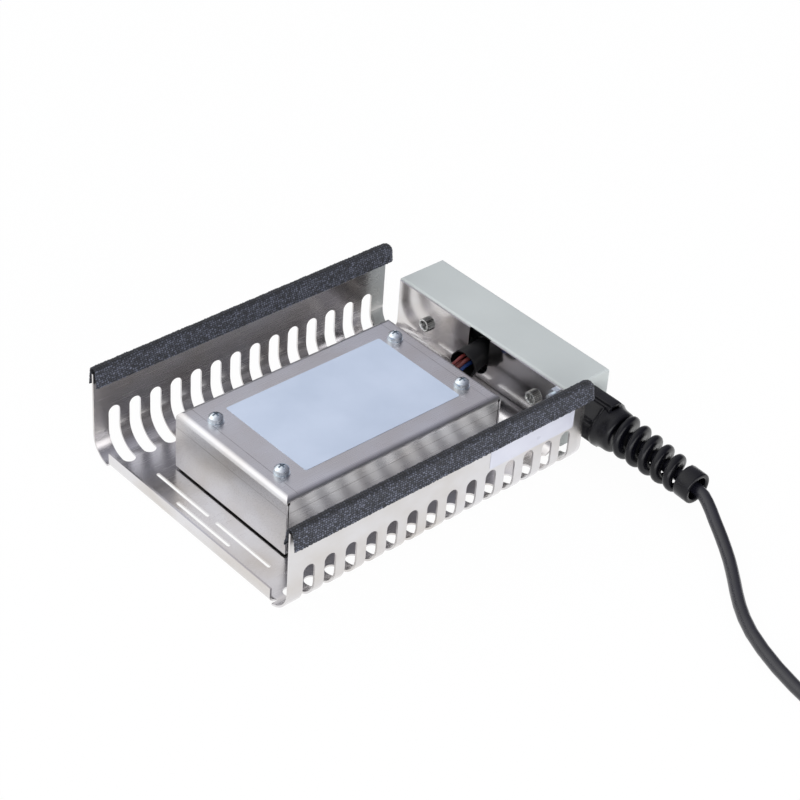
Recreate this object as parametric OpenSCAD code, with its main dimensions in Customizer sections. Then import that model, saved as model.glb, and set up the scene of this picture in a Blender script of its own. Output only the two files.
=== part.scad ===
/* [Tray] */
// Thickness of the folded stainless sheet
sheet_t = 1; // [0.8:0.1:1.2]
// Length of the two slotted side walls
tray_l = 180.5; // [172:0.5:200]
// Width of the tray over its side walls
tray_w = 145; // [140:0.5:165]
// Height of the side walls' upper edge
wall_h = 47.8; // [44:0.2:56]
// Inside radius of the large bends
bend_r = 12; // [8:0.5:12.5]
// Height of the short end flange
flange_h = 8.6; // [6:0.2:12]
// Distance of the short end flange's ends from the walls' outer faces
flange_inset = 12.2; // [12:0.1:16]
// Inside radius of the short end flange's bend
flange_r = 2.5; // [1.5:0.1:3.5]
// Width of the reliefs beside the end bends
relief_w = 1.4; // [1:0.1:2]
// Distance of the end panel's edges from the walls' outer faces
panel_inset = 13.3; // [13.2:0.1:16]
// Distance of the end panel's outer face past the side walls
panel_proud = 0.3; // [0:0.1:1]

/* [Wall slots] */
// Number of air slots in each side wall
slot_n = 14; // [8:1:14]
// Distance between air slots
slot_pitch = 12.1; // [10:0.1:12.4]
// Width of an air slot
slot_w = 6.6; // [4:0.2:7.4]
// Height of the slots' upper ends
slot_top = 25; // [20:0.5:30]
// How far the slots run past the bend into the hot face
slot_run = 2.5; // [1:0.1:3.4]

/* [Thermal breaks] */
// Width of a thermal break slot
break_w = 1.9; // [1.2:0.1:2.4]
// Length of a thermal break slot
break_l = 39.7; // [30:0.1:42]
// Bridge between two slots of a row
break_bridge = 5.2; // [4:0.1:8]
// Distance of the first row from the heater cover
break_x = 9.7; // [6:0.1:10]
// Distance between the two rows at the open end
break_pitch = 5.4; // [4:0.1:6]

/* [Edge trims] */
// Wall of the braided trim
trim_t = 1.3; // [1:0.1:2]
// Height of the braided trim
trim_h = 8.2; // [7:0.1:12]
// Radius of the trim's outer upper edges
trim_r = 1.2; // [0.6:0.1:1.5]
// How far the trim reaches past the wall at the box end
trim_over = 3.8; // [1:0.1:6]
// Radius of the trim's upper end corners
trim_end_r = 3.5; // [1:0.1:5]

/* [Heater cover] */
// Length of the heater cover
cover_l = 131.4; // [126:0.2:132]
// Width of the heater cover
cover_w = 81.4; // [78:0.2:100]
// Height of the cover's top face
cover_top = 33.7; // [32:0.1:38]
// Gap between the cover's rim and the hot sheet
cover_gap = 1.2; // [0.6:0.1:2]
// Outside radius of the cover's bends
cover_r = 3; // [2:0.1:4]
// Width of the open corner seams
seam_w = 0.5; // [0.3:0.1:0.8]
// Diameter of the relief hole above each seam
seam_hole = 1.6; // [1:0.1:2.2]
// Distance of the cover screws from the cover's ends
screw_in = 10.45; // [9.4:0.05:11]
// Distance between the cover screws across the tray
screw_py = 48.2; // [40:0.1:56]

/* [Label and sticker] */
// Distance of the bare rating label from the cover's ends
label_in = 18.3; // [17.5:0.1:25]
// Width of the bare rating label
label_w = 58.6; // [40:0.2:62]
// Offset of the label towards the connection box
label_shift = 2; // [0:0.1:2]
// Length of the bare side sticker
sticker_l = 54.2; // [30:0.2:60]
// Distance of the sticker from the wall's box end
sticker_end = 7.2; // [5:0.1:12]
// Thickness of label and sticker
foil_t = 0.15; // [0.1:0.01:0.25]

/* [Heater] */
// Distance of the aluminium heating plate from the cover's ends
plate_in = 4.7; // [4.2:0.1:6]
// Width of the aluminium heating plate
plate_w = 70; // [66:0.5:74]
// Thickness of the aluminium heating plate
plate_t = 8; // [6:0.2:9]
// Gap between the flat heater element and the cover standoffs
element_gap = 2.2; // [2:0.1:4]
// Width of the flat heater element
element_w = 62; // [50:0.5:64]
// Thickness of the flat heater element
element_t = 2.4; // [2.2:0.1:3]
// Thickness of the pressure plate
press_t = 2; // [1.5:0.1:3]
// Distance of the clamp screws from the cover's ends
clamp_in = 23.7; // [23.7:0.1:30]
// Width across flats of the cover standoffs
standoff_af = 7; // [6:0.5:8]
// Diameter of the temperature sensor
sensor_d = 4; // [3:0.1:4.5]
// Length of the temperature sensor
sensor_l = 32; // [24:0.5:40]

/* [Connection box] */
// Depth of the connection box
box_d = 28.8; // [26:0.2:36]
// Distance of the connection box's ends from the walls' outer faces
box_inset = 12.5; // [8:0.1:12.8]
// Height of the box's top face
box_top = 37; // [36:0.2:42]
// Clearance under the box
box_lift = 3; // [1:0.2:4]
// Sheet thickness of the box
box_t = 1; // [0.8:0.1:1.2]
// Outside radius of the box's bends
box_r = 1.2; // [1.2:0.1:2]
// Width of the notch that lets the wires in
notch_w = 14.6; // [12:0.2:18]
// Height of the notch's lower end
notch_z = 13; // [12:0.2:16]
// Distance between the panel screws
panel_screw_p = 77; // [70:0.2:80]
// Height of the panel screws
panel_screw_z = 22; // [20:0.2:26]
// Offset of the panel screws' middle across the tray
panel_screw_y = -2; // [-3:0.1:1]
// Distance of the ground stud from the panel's near edge
ground_in = 4.2; // [4:0.1:9]
// Distance of the ground stud below the panel's upper edge
ground_drop = 3; // [2.8:0.1:6]

/* [Wires] */
// Diameter of an insulated lead
lead_d = 2; // [1.6:0.1:2.2]
// Spread of the leads about the middle of their bundle
lead_spread = 1.7; // [1.4:0.1:2]
// Height at which the leads leave the cover
lead_exit_z = 20; // [18:0.2:23]
// Height of the sleeve's axis
sleeve_z = 24; // [22:0.2:26]
// Outside diameter of the black sleeve
sleeve_d = 13; // [11:0.1:13.6]
// Inside diameter of the black sleeve
sleeve_bore = 10; // [9:0.1:10.4]
// Length of the sleeve in front of the panel
sleeve_front = 9; // [6:0.2:12]
// Length of the sleeve behind the panel
sleeve_back = 5; // [4:0.2:6]
// Bore of the rubber bush in the cover
bush_bore = 9; // [8:0.1:9.6]

/* [Strain relief] */
// Width of the boot's moulded block
neck_w = 21; // [19:0.2:23]
// Height of the boot's moulded block
neck_h = 23; // [21:0.2:25]
// Slope of the block's upper shoulders
shoulder = 5.5; // [4:0.1:6]
// Chamfer of the block's lower edges
foot_c = 3; // [2:0.1:4]
// Length of the block outside the box
neck_l = 16; // [14:0.2:20]
// Diameter of the round body behind the spiral
body_d = 23; // [22.4:0.1:24]
// Length of the round body behind the spiral
body_l = 7.8; // [7:0.1:9]
// Outside diameter of the spiral's first turn
ring_d1 = 22; // [21:0.1:22.4]
// Outside diameter of the spiral's last turn
ring_d2 = 17.3; // [17.2:0.1:19]
// Number of open turns
ring_n = 5; // [3:1:5]
// Distance between turns
ring_p = 7.9; // [7.4:0.1:8.2]
// Thickness of the spiral
ring_t = 4.8; // [4.4:0.1:4.8]
// Diameter of the end collar
collar_d = 16.2; // [15.4:0.1:17]
// Length of the end collar
collar_l = 8.6; // [8:0.1:10]
// Bore of the end collar
collar_bore = 11.4; // [10:0.1:12]
// Downward slope of the spiral in degrees
boot_droop = 2.7; // [2:0.1:3]
// Clearance of the cord in the boot
boot_play = 0.6; // [0.5:0.05:0.8]

/* [Cord] */
// Diameter of the cord
cord_d = 6.2; // [5.6:0.1:6.4]
// Radius of the coil at the middle of its turns
coil_r = 34; // [31:0.5:37]
// Thickness of the strap round the coil
tie_t = 0.6; // [0.4:0.1:0.8]
// Width of the strap round the coil
tie_w = 8; // [5:0.5:9]

/* [Plug] */
// Diameter of the plug's shell
shell_d = 20; // [20:0.2:22]
// Length of the plug's shell behind the ring
shell_l = 18; // [14:0.5:22]
// Diameter of the seat under the locking ring
seat_d = 14.4; // [13:0.1:15]
// Outside diameter of the locking ring
locking_d = 18.6; // [17.5:0.1:19]
// Length of the locking ring
locking_l = 12; // [9:0.2:14]
// Radial running clearance of the locking ring
locking_fit = 0.05; // [0.03:0.01:0.1]
// Length of the plug's bend protection
plug_boot_l = 20; // [14:0.5:24]
// Number of contact pins
pin_n = 6; // [4:1:7]
// Diameter of a contact pin
pin_d = 1.2; // [0.8:0.1:1.4]

/* [Hidden] */
$fn = 48;

// Overlap that lets a cut run clear through a face
cut = 1;

// Places along the tray, measured from the open end of its walls
bend_out = bend_r + sheet_t;
flange_out = flange_r + sheet_t;
panel_x = tray_l + panel_proud;
panel_in = panel_x - sheet_t;
overall_l = panel_x + box_d;
mid_x = tray_l / 2;
cover_x0 = mid_x - cover_l / 2;
cover_x1 = mid_x + cover_l / 2;
wall_y = tray_w / 2;
flange_w = tray_w - 2 * flange_inset;
panel_w = tray_w - 2 * panel_inset;
box_w = tray_w - 2 * box_inset;
slot_tip_y = wall_y - bend_out - slot_run;
break_row1 = cover_x0 - break_x;
break_row2 = break_row1 - break_pitch;
break_row3 = cover_x1 + break_x;

// Heights of the heater's layers on the hot sheet
plate_z = sheet_t;
element_z = plate_z + plate_t;
press_z = element_z + element_t;
pad_z = press_z + press_t;
cover_in = cover_top - sheet_t;
rim_z = sheet_t + cover_gap;

// Metric fasteners with a 4 mm thread
thread_d = 4;
thread_hole = 4.4;
pan_d = 7;
pan_h = 2.8;
pan_edge = 1.2;
recess_w = 0.9;
recess_l = 4;
recess_h = 1.5;
spring_d = 7.2;
spring_h = 1;
spring_split = 0.6;
washer_d = 8;
washer_h = 0.7;
cap_d = 7;
cap_h = 4;
cap_chamfer = 0.4;
knurl_n = 24;
knurl_h = 0.25;
dish_d = 5.6;
dish_h = 0.4;
socket_af = 3;
socket_h = 2;
nut_af = 7;
nut_h = 3.2;
cover_screw_l = 12;
panel_screw_l = 8;
clamp_screw_l = 8;
clamp_head_h = 2.4;
clamp_room = 0.5;
screw_z = cover_top + washer_h + spring_h;

// Heater details
sensor_play = 0.1;
sensor_out = 1;
notch_depth = 11;
notch_half = 13;
plate_l = cover_l - 2 * plate_in;
clamp_p = cover_l - 2 * clamp_in;
sensor_end = mid_x + plate_l / 2 - notch_depth;
sensor_y = -8;
sensor_z = plate_z + plate_t / 2;
standoff_l = cover_in - element_z;
screw_px = cover_l - 2 * screw_in;
element_l = screw_px - standoff_af / cos(30) - 2 * element_gap;
pad_l = element_l;
pad_w = element_w + 8;

// Connection box
box_x1 = panel_x + box_d;
box_mid = panel_x + box_d / 2;
box_floor = box_lift + box_t;
box_ceiling = box_top - box_t;
lip_top = box_top - 3.5;
lip_notch = notch_w + 6;
panel_top = box_top - box_t;
ground_y = -panel_w / 2 + ground_in;
ground_z = panel_top - ground_drop;
ground_d = 3;
ground_af = 5.5;
ground_nut_h = 1.7;
ground_l = 7.5;
terminal_l = 34;
terminal_d = 12;
terminal_h = 14;
terminal_n = 4;
terminal_step = terminal_l / terminal_n;
terminal_x = box_x1 - box_t - terminal_d;
terminal_z = box_floor + terminal_h;
terminal_screw_d = 4;
terminal_screw_h = 3;
terminal_slit = 0.8;
lead_hole_z = box_floor + terminal_h * 0.55;
core_hole_z = box_floor + terminal_h * 0.25;
core_d_in = 1.3;
core_lane = 1.7;
core_side = 1.2;
wire_hole = 3.2;
wire_in = 1.5;

// Lead routing
bush_flange = 3;
bush_lip = 1.6;
bush_d = bush_bore + 4;
bush_gap = 0.05;
sleeve_x0 = panel_x - sleeve_front;
sleeve_x1 = panel_x + sleeve_back;
lead_gap = 0.2;
lead_start = mid_x + element_l / 2 + lead_gap;
lead_z0 = element_z + element_t / 2;

// Strain relief
gland_z = (box_top + box_lift) / 2;
neck_y = -box_w / 2;
grip_w = neck_w - 6;
grip_h = neck_h - 7;
grip_lip = 2;
lip_over = 1.5;
crest_w = 7;
crest_top_w = 4.4;
crest_h = 1.8;
boot_bore = cord_d + 2 * boot_play;
neck_bore = boot_bore + 0.6;
latch_h = 0.8;
latch_w = 1.8;
latch_l = 7;
latch_z = [neck_h / 2 - shoulder - 1.5, neck_h / 2 - shoulder - 5];
body_in = 1.5;
body_rim = 1.8;
spiral_steps = 16;
spiral_sides = 8;
spiral_in = 4;
spiral_turns = ring_n + 0.85;
spiral_z0 = body_l - spiral_in;
collar_z = spiral_z0 + spiral_turns * ring_p;

// Cord in the part's own frame: through the boot, down to the floor, away to the coil
cord_rest = cord_d / 2;
cord_sides = 10;
cord_steps = 4;
cord_x = box_mid - overall_l / 2;
boot_l = collar_z + collar_l;
boot_end = on_boot_axis(boot_l);
cord_inside = [
    [cord_x, neck_y + 8, gland_z], [cord_x, neck_y - neck_l / 3, gland_z], on_boot_axis(0),
    on_boot_axis(boot_l / 3), on_boot_axis(boot_l * 2 / 3), boot_end];
// Route points from the boot's mouth: across, along, and the share of the mouth's height still left
cord_path = [
    [-1.8, -8.1, 0.87], [-4.9, -16.2, 0.59], [-8.5, -24.6, 0.345], [-14.4, -35, 0.135], [-22, -45, 0.035],
    [-32, -57.3, 0], [-41.5, -72.7, 0], [-49.5, -94.7, 0], [-54.5, -119.7, 0], [-56.5, -143.4, 0.042],
    [-56.5, -159.4, 0.042]];
cord_route = concat(cord_inside, [for (p = cord_path)
    [boot_end.x + p.x, boot_end.y + p.y, cord_rest + p.z * (boot_end.z - cord_rest)]]);
cord_end = cord_route[len(cord_route) - 1];
coil_at = [cord_end.x + coil_r + cord_d, cord_end.y];

// Coil section: three turns below, two nested above
layer_h = cord_d * sin(60);
coil_h = cord_d + layer_h;
coil_half = 1.5 * cord_d;
coil_top_half = cord_d;
coil_edge = cord_d / 4;

// Tail from the coil's last turn into the plug
plug_grip = 8;
tail_x = coil_at.x + coil_r + cord_d / 2;
tail_z = tie_t + layer_h + cord_rest;
tail_l = 30;
plug_at = [tail_x, coil_at.y + tail_l, shell_d / 2];
tail_route = [
    [tail_x, coil_at.y, tail_z], [tail_x, coil_at.y + tail_l / 3, tail_z],
    [tail_x, coil_at.y + tail_l * 2 / 3, (tail_z + plug_at.z) / 2], plug_at, plug_at + [0, plug_grip, 0]];

// Plug, measured along its axis from its bend protection
plug_boot_d1 = cord_d + 3;
plug_boot_d2 = 13;
seat_l = locking_l + 0.4;
flange_l = 1.6;
flange_d = seat_d + 1.2;
nose_d = 12;
nose_l = 7;
nose_bore = 10;
insert_l = 9;
pin_l = 6;
pin_ring = 6.4;
grip_groove_n = 18;
grip_groove_d = 1.2;
shell_seat = plug_boot_l;
ring_y = shell_seat + shell_l + 0.2;
nose_y = shell_seat + shell_l + seat_l + flange_l;

// Moves geometry drawn from the open end of the walls to the part's own origin
module part_frame() {
    translate([-overall_l / 2, 0, 0]) children();
}

// Plane outline with two rounded lower corners, standing on the axis
module round_bottom(w, h, r) {
    translate([-w / 2 + r, 0]) square([w - 2 * r, h]);
    translate([-w / 2, r]) square([w, h - r]);
    for (s = [-1, 1]) translate([s * (w / 2 - r), r]) circle(r);
}

// Plane outline with two rounded upper corners, standing on the axis
module round_top(w, h, r) {
    translate([0, h]) mirror([0, 1]) round_bottom(w, h, r);
}

// Plane outline of a sheet that turns up at the right, outer corner at x
module turn_up(x, h, r_in, t) {
    x0 = x - r_in - t - cut;
    difference() {
        turn_up_solid(x0, x, h, r_in + t);
        translate([0, t]) turn_up_solid(x0 - cut, x - t, h, r_in);
    }
}

module turn_up_solid(x0, x, h, r) {
    translate([x0, 0]) square([x - r - x0, h]);
    translate([x0, r]) square([x - x0, h - r]);
    intersection() {
        translate([x - r, r]) circle(r);
        translate([x - r, 0]) square(r);
    }
}

// Draws a plane outline across the tray: outline x runs across, y runs up
module along_x(l) {
    rotate([90, 0, 90]) linear_extrude(l) children();
}

// Draws a plane outline along the tray: outline x runs along, y runs up
module along_y(w) {
    rotate([90, 0, 0]) linear_extrude(w, center = true) children();
}

// Box with rounded upper edges, as a folded sheet has them
module folded_box(l, w, h, r) {
    intersection() {
        along_y(w) round_top(l, h, r);
        translate([-l / 2, 0, 0]) along_x(l) round_top(w, h, r);
    }
}

// Places children at the four cover screws
module at_cover_screws() {
    for (sx = [-1, 1], sy = [-1, 1])
        translate([mid_x + sx * screw_px / 2, sy * screw_py / 2, 0]) children();
}

// Places children at the two panel screws, their axis along the tray
module at_panel_screws() {
    for (s = [-1, 1])
        translate([panel_in, panel_screw_y + s * panel_screw_p / 2, panel_screw_z]) rotate([0, 90, 0]) children();
}

module hex_prism(af, h) {
    cylinder(d = af / cos(30), h = h, $fn = 6);
}

module hex_nut(af, h, d) {
    difference() {
        hex_prism(af, h);
        translate([0, 0, -cut]) cylinder(d = d, h = h + 2 * cut);
    }
}

// Pan head with a cross recess on a plain shank, head upwards
module pan_screw(l) {
    dome = pan_h - pan_edge;
    dome_r = (pow(pan_d / 2, 2) + dome * dome) / (2 * dome);
    difference() {
        intersection() {
            cylinder(d = pan_d, h = pan_h);
            translate([0, 0, pan_h - dome_r]) sphere(dome_r);
        }
        cross_recess(pan_h);
    }
    translate([0, 0, -l]) cylinder(d = thread_d, h = l + pan_edge);
}

// Plane outline of a knurled rim
module knurl_outline(d) {
    polygon([for (i = [0:2 * knurl_n - 1])
        (d / 2 - (i % 2) * knurl_h) * [cos(180 * i / knurl_n), sin(180 * i / knurl_n)]]);
}

// Crossed slots cut down from a head's top
module cross_recess(top) {
    for (a = [0, 90])
        rotate([0, 0, a]) translate([-recess_l / 2, -recess_w / 2, top - recess_h])
            cube([recess_l, recess_w, recess_h + cut]);
}

// Knurled cap head with a dished, crossed face on a plain shank, head upwards
module cap_screw(l) {
    difference() {
        union() {
            linear_extrude(cap_h - cap_chamfer) knurl_outline(cap_d);
            translate([0, 0, cap_h - cap_chamfer])
                cylinder(d1 = cap_d - 2 * knurl_h, d2 = cap_d - 2 * cap_chamfer, h = cap_chamfer);
        }
        translate([0, 0, cap_h - dish_h]) cylinder(d = dish_d, h = dish_h + cut);
        cross_recess(cap_h - dish_h);
    }
    translate([0, 0, -l]) cylinder(d = thread_d, h = l + cap_chamfer);
}

// Point on the drooping boot's axis, at a distance from its neck
function on_boot_axis(d) =
    [cord_x, neck_y - neck_l - d * cos(boot_droop), gland_z - d * sin(boot_droop)];

// Smooth curve through a route's points
function curve_point(a, b, c, d, t) =
    0.5 * (2 * b + (c - a) * t + (2 * a - 5 * b + 4 * c - d) * t * t + (3 * b - a - 3 * c + d) * t * t * t);
function curve(p, steps) = concat(
    [for (i = [0:len(p) - 2], k = [0:steps - 1])
        curve_point(p[max(i - 1, 0)], p[i], p[i + 1], p[min(i + 2, len(p) - 1)], k / steps)],
    [p[len(p) - 1]]);
function unit(v) = v / norm(v);
function heading(p, i) = unit(p[min(i + 1, len(p) - 1)] - p[max(i - 1, 0)]);
function ring_at(c, dir, d, sides) =
    let (side = unit(cross([0, 0, 1], dir)), up = cross(dir, side))
    [for (k = [0:sides - 1]) c + d / 2 * (cos(360 * k / sides) * side + sin(360 * k / sides) * up)];

// Round tube swept along a route
module sweep_tube(route, d, sides, steps) {
    line = curve(route, steps);
    n = len(line);
    points = [for (i = [0:n - 1]) each ring_at(line[i], heading(line, i), d, sides)];
    walls = [for (i = [0:n - 2], k = [0:sides - 1])
        let (j = (k + 1) % sides)
        [i * sides + k, (i + 1) * sides + k, (i + 1) * sides + j, i * sides + j]];
    first = [for (k = [0:sides - 1]) k];
    last = [for (k = [sides - 1:-1:0]) (n - 1) * sides + k];
    polyhedron(points, concat([first], walls, [last]));
}

// Air slot that wraps round a wall's bend, for the wall on side s
module wall_slot(s) {
    end_y = slot_tip_y + slot_w / 2;
    end_z = slot_top - slot_w / 2;
    depth = wall_y - end_y + cut;
    translate([0, 0, -cut]) {
        translate([-slot_w / 2, s > 0 ? end_y : -end_y - depth, 0]) cube([slot_w, depth, end_z + cut]);
        translate([0, s * end_y, 0]) cylinder(d = slot_w, h = bend_r);
    }
    translate([0, s * (wall_y + cut), end_z]) rotate([s * 90, 0, 0]) cylinder(d = slot_w, h = bend_out + cut);
}

// Long narrow slot across the hot face
module break_slot(x, y) {
    run = break_l - break_w;
    translate([x, y, -cut]) {
        translate([-break_w / 2, -run / 2, 0]) cube([break_w, run, sheet_t + 2 * cut]);
        for (s = [-1, 1]) translate([0, s * run / 2, 0]) cylinder(d = break_w, h = sheet_t + 2 * cut);
    }
}

// Round-bottomed notch for the wires, open at the top
module notch(w, depth) {
    translate([panel_in - cut, 0, 0]) {
        translate([0, 0, notch_z + w / 2]) rotate([0, 90, 0]) cylinder(d = w, h = depth);
        translate([0, -w / 2, notch_z + w / 2]) cube([depth, w, box_top]);
    }
}

module tray() {
    slots_x0 = mid_x - (slot_n - 1) * slot_pitch / 2;
    panel_cut = panel_w / 2 + relief_w;
    flange_cut = flange_w / 2 + relief_w;
    color("lightgray") part_frame() difference() {
        union() {
            difference() {
                along_x(tray_l) difference() {
                    round_bottom(tray_w, wall_h, bend_out);
                    translate([0, sheet_t]) round_bottom(tray_w - 2 * sheet_t, wall_h, bend_r);
                }
                translate([panel_x - bend_out, -panel_cut, -cut]) cube([bend_out, 2 * panel_cut, bend_r]);
                translate([-cut, -flange_cut, -cut]) cube([flange_out + cut, 2 * flange_cut, bend_r]);
            }
            along_y(panel_w) turn_up(panel_x, panel_top, bend_r, sheet_t);
            along_y(flange_w) mirror([1, 0]) turn_up(0, flange_h, flange_r, sheet_t);
        }
        for (i = [0:slot_n - 1], s = [-1, 1])
            translate([slots_x0 + i * slot_pitch, 0, 0]) wall_slot(s);
        for (x = [break_row1, break_row3], s = [-1, 1]) break_slot(x, s * (break_l + break_bridge) / 2);
        break_slot(break_row2, 0);
        notch(notch_w, sheet_t + 2 * cut);
        at_panel_screws() translate([0, 0, -cut]) cylinder(d = thread_hole, h = sheet_t + 2 * cut);
        at_ground(panel_in - cut) cylinder(d = ground_d, h = sheet_t + 2 * cut);
    }
}

// Braided edging pushed over a wall's upper edge
module edge_trim(s) {
    w = sheet_t + 2 * trim_t;
    l = tray_l + trim_over;
    base = wall_h + trim_t - trim_h;
    color("darkslategray") part_frame() translate([0, s * (wall_y - sheet_t / 2), base]) difference() {
        intersection() {
            along_x(l) round_top(w, trim_h, trim_r);
            translate([l / 2, 0, 0]) along_y(w + 2 * cut) round_top(l, trim_h, trim_end_r);
        }
        translate([-cut, -sheet_t / 2, -cut]) cube([tray_l + cut, sheet_t, trim_h - trim_t + cut]);
    }
}

module edge_trim_near() {
    edge_trim(-1);
}

module edge_trim_far() {
    edge_trim(1);
}

module heater_cover() {
    h = cover_top - rim_z;
    seam_x = cover_l / 2 - sheet_t - seam_w;
    seam_h = h - cover_r;
    color("silver") part_frame() difference() {
        translate([mid_x, 0, rim_z]) difference() {
            folded_box(cover_l, cover_w, h, cover_r);
            translate([0, 0, -cut])
                folded_box(cover_l - 2 * sheet_t, cover_w - 2 * sheet_t, h - sheet_t + cut, cover_r - sheet_t);
            for (sx = [-1, 1], sy = [-1, 1]) mirror([sx < 0 ? 1 : 0, 0]) mirror([0, sy < 0 ? 1 : 0]) {
                translate([seam_x, cover_w / 2 - sheet_t - cut, -cut]) cube([seam_w, sheet_t + 2 * cut, seam_h + cut]);
                translate([seam_x + seam_w / 2, cover_w / 2 - sheet_t - cut, seam_h]) rotate([-90, 0, 0])
                    cylinder(d = seam_hole, h = sheet_t + 2 * cut);
            }
        }
        at_cover_screws() translate([0, 0, cover_in - cut]) cylinder(d = thread_hole, h = sheet_t + 2 * cut);
        translate([cover_x1 - sheet_t - cut, 0, lead_exit_z]) rotate([0, 90, 0])
            cylinder(d = bush_d, h = sheet_t + 2 * cut);
    }
}

module cover_screws() {
    color("lightsteelblue") part_frame() at_cover_screws() translate([0, 0, screw_z]) pan_screw(cover_screw_l);
}

module cover_spring_washers() {
    color("lightsteelblue") part_frame() at_cover_screws() translate([0, 0, cover_top + washer_h]) difference() {
        cylinder(d = spring_d, h = spring_h);
        translate([0, 0, -cut]) cylinder(d = thread_hole, h = spring_h + 2 * cut);
        translate([0, -spring_split / 2, -cut]) cube([spring_d, spring_split, spring_h + 2 * cut]);
    }
}

module cover_washers() {
    color("lightsteelblue") part_frame() at_cover_screws() translate([0, 0, cover_top]) difference() {
        cylinder(d = washer_d, h = washer_h);
        translate([0, 0, -cut]) cylinder(d = thread_hole, h = washer_h + 2 * cut);
    }
}

module rating_label() {
    label_l = cover_l - 2 * label_in;
    color("aliceblue") part_frame() translate([mid_x + label_shift - label_l / 2, -label_w / 2, cover_top])
        cube([label_l, label_w, foil_t]);
}

module side_sticker() {
    z0 = slot_top + 1;
    z1 = wall_h + trim_t - trim_h - 0.2;
    color("aliceblue") part_frame() translate([tray_l - sticker_end - sticker_l, -wall_y - foil_t, z0])
        cube([sticker_l, foil_t, z1 - z0]);
}

// Aluminium plate on the hot sheet, drilled for sensor and clamp screws, notched where the leads rise
module heating_plate() {
    hole_h = 6;
    color("darkgray") part_frame() difference() {
        translate([mid_x - plate_l / 2, -plate_w / 2, plate_z]) cube([plate_l, plate_w, plate_t]);
        translate([sensor_end, -notch_half, plate_z - cut])
            cube([notch_depth + cut, 2 * notch_half, plate_t + 2 * cut]);
        translate([sensor_end - sensor_l, sensor_y, sensor_z]) rotate([0, 90, 0])
            cylinder(d = sensor_d + sensor_play, h = sensor_l + cut);
        at_clamp_screws(element_z - hole_h) cylinder(d = thread_d, h = hole_h + cut);
    }
}

module heater_element() {
    color("tan") part_frame() difference() {
        translate([mid_x - element_l / 2, -element_w / 2, element_z]) cube([element_l, element_w, element_t]);
        at_clamp_screws(element_z) translate([0, 0, -cut]) cylinder(d = thread_hole, h = element_t + 2 * cut);
    }
}

module at_clamp_screws(z) {
    for (s = [-1, 1]) translate([mid_x + s * clamp_p / 2, 0, z]) children();
}

module pressure_plate() {
    color("slategray") part_frame() difference() {
        translate([mid_x - element_l / 2, -element_w / 2, press_z]) cube([element_l, element_w, press_t]);
        at_clamp_screws(press_z) translate([0, 0, -cut]) cylinder(d = thread_hole, h = press_t + 2 * cut);
    }
}

module clamp_screws() {
    color("lightsteelblue") part_frame() at_clamp_screws(pad_z) {
        difference() {
            cylinder(d = cap_d, h = clamp_head_h);
            translate([0, 0, clamp_head_h - socket_h / 2]) hex_prism(socket_af, socket_h);
        }
        translate([0, 0, -clamp_screw_l]) cylinder(d = thread_d, h = clamp_screw_l + cap_chamfer);
    }
}

// Ceramic fibre board between pressure plate and cover
module insulation_pad() {
    color("ivory") part_frame() difference() {
        translate([mid_x - pad_l / 2, -pad_w / 2, pad_z]) cube([pad_l, pad_w, cover_in - pad_z]);
        at_clamp_screws(pad_z - cut) cylinder(d = cap_d + 2 * clamp_room, h = clamp_head_h + clamp_room + cut);
    }
}

module cover_standoffs() {
    color("gold") part_frame() at_cover_screws() translate([0, 0, element_z]) difference() {
        hex_prism(standoff_af, standoff_l);
        translate([0, 0, standoff_l - cover_screw_l]) cylinder(d = thread_d, h = cover_screw_l + cut);
    }
}

module temperature_sensor() {
    color("lightgray") part_frame() translate([sensor_end - sensor_l, sensor_y, sensor_z]) rotate([0, 90, 0])
        cylinder(d = sensor_d, h = sensor_l + sensor_out);
}

// Rubber bush with a groove that grips the cover's end wall
module lead_bush() {
    color("black") part_frame() translate([cover_x1 - sheet_t, 0, lead_exit_z]) rotate([0, 90, 0]) rotate_extrude()
        difference() {
            union() {
                translate([0, -bush_lip]) square([bush_d / 2 + bush_flange / 2, bush_lip - bush_gap]);
                translate([0, -bush_lip]) square([bush_d / 2 - bush_gap, sheet_t + 2 * bush_lip]);
                translate([0, sheet_t + bush_gap]) square([bush_d / 2 + bush_flange / 2, bush_lip - bush_gap]);
            }
            translate([0, -bush_lip - cut]) square([bush_bore / 2, sheet_t + 2 * bush_lip + 2 * cut]);
        }
}

// Lead from the heater through bush and sleeve to a clamp of the terminal block
module lead(y0, dy, dz, clamp, z0 = lead_z0, x0 = lead_start) {
    bush_x = cover_x1;
    y1 = (clamp - (terminal_n - 1) / 2) * terminal_step;
    sweep_tube([
        [x0, y0, z0], [x0 + 3, y0, z0 + 0.3], [(x0 + bush_x) / 2, (y0 + dy) / 2, (z0 + lead_exit_z + dz) / 2],
        [bush_x - 4, dy, lead_exit_z + dz], [bush_x + 3, dy, lead_exit_z + dz],
        [(bush_x + sleeve_x0) / 2 + 2, dy, (lead_exit_z + sleeve_z) / 2 + dz],
        [sleeve_x0, dy, sleeve_z + dz], [sleeve_x1, dy, sleeve_z + dz],
        [sleeve_x1 + 4, (dy + y1) / 2, (sleeve_z + dz + lead_hole_z) / 2],
        [terminal_x - 2, y1, lead_hole_z], [terminal_x + wire_in, y1, lead_hole_z]], lead_d, 8, 3);
}

module red_leads() {
    color("red") part_frame() {
        lead(10, lead_spread, lead_spread, 3);
        lead(4, lead_spread, -lead_spread, 2);
    }
}

module brown_lead() {
    color("saddlebrown") part_frame() lead(-4, -lead_spread, lead_spread, 0);
}

module blue_lead() {
    x0 = sensor_end + sensor_out + lead_gap;
    color("royalblue") part_frame() lead(sensor_y, -lead_spread, -lead_spread, 1, sensor_z, x0);
}

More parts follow.
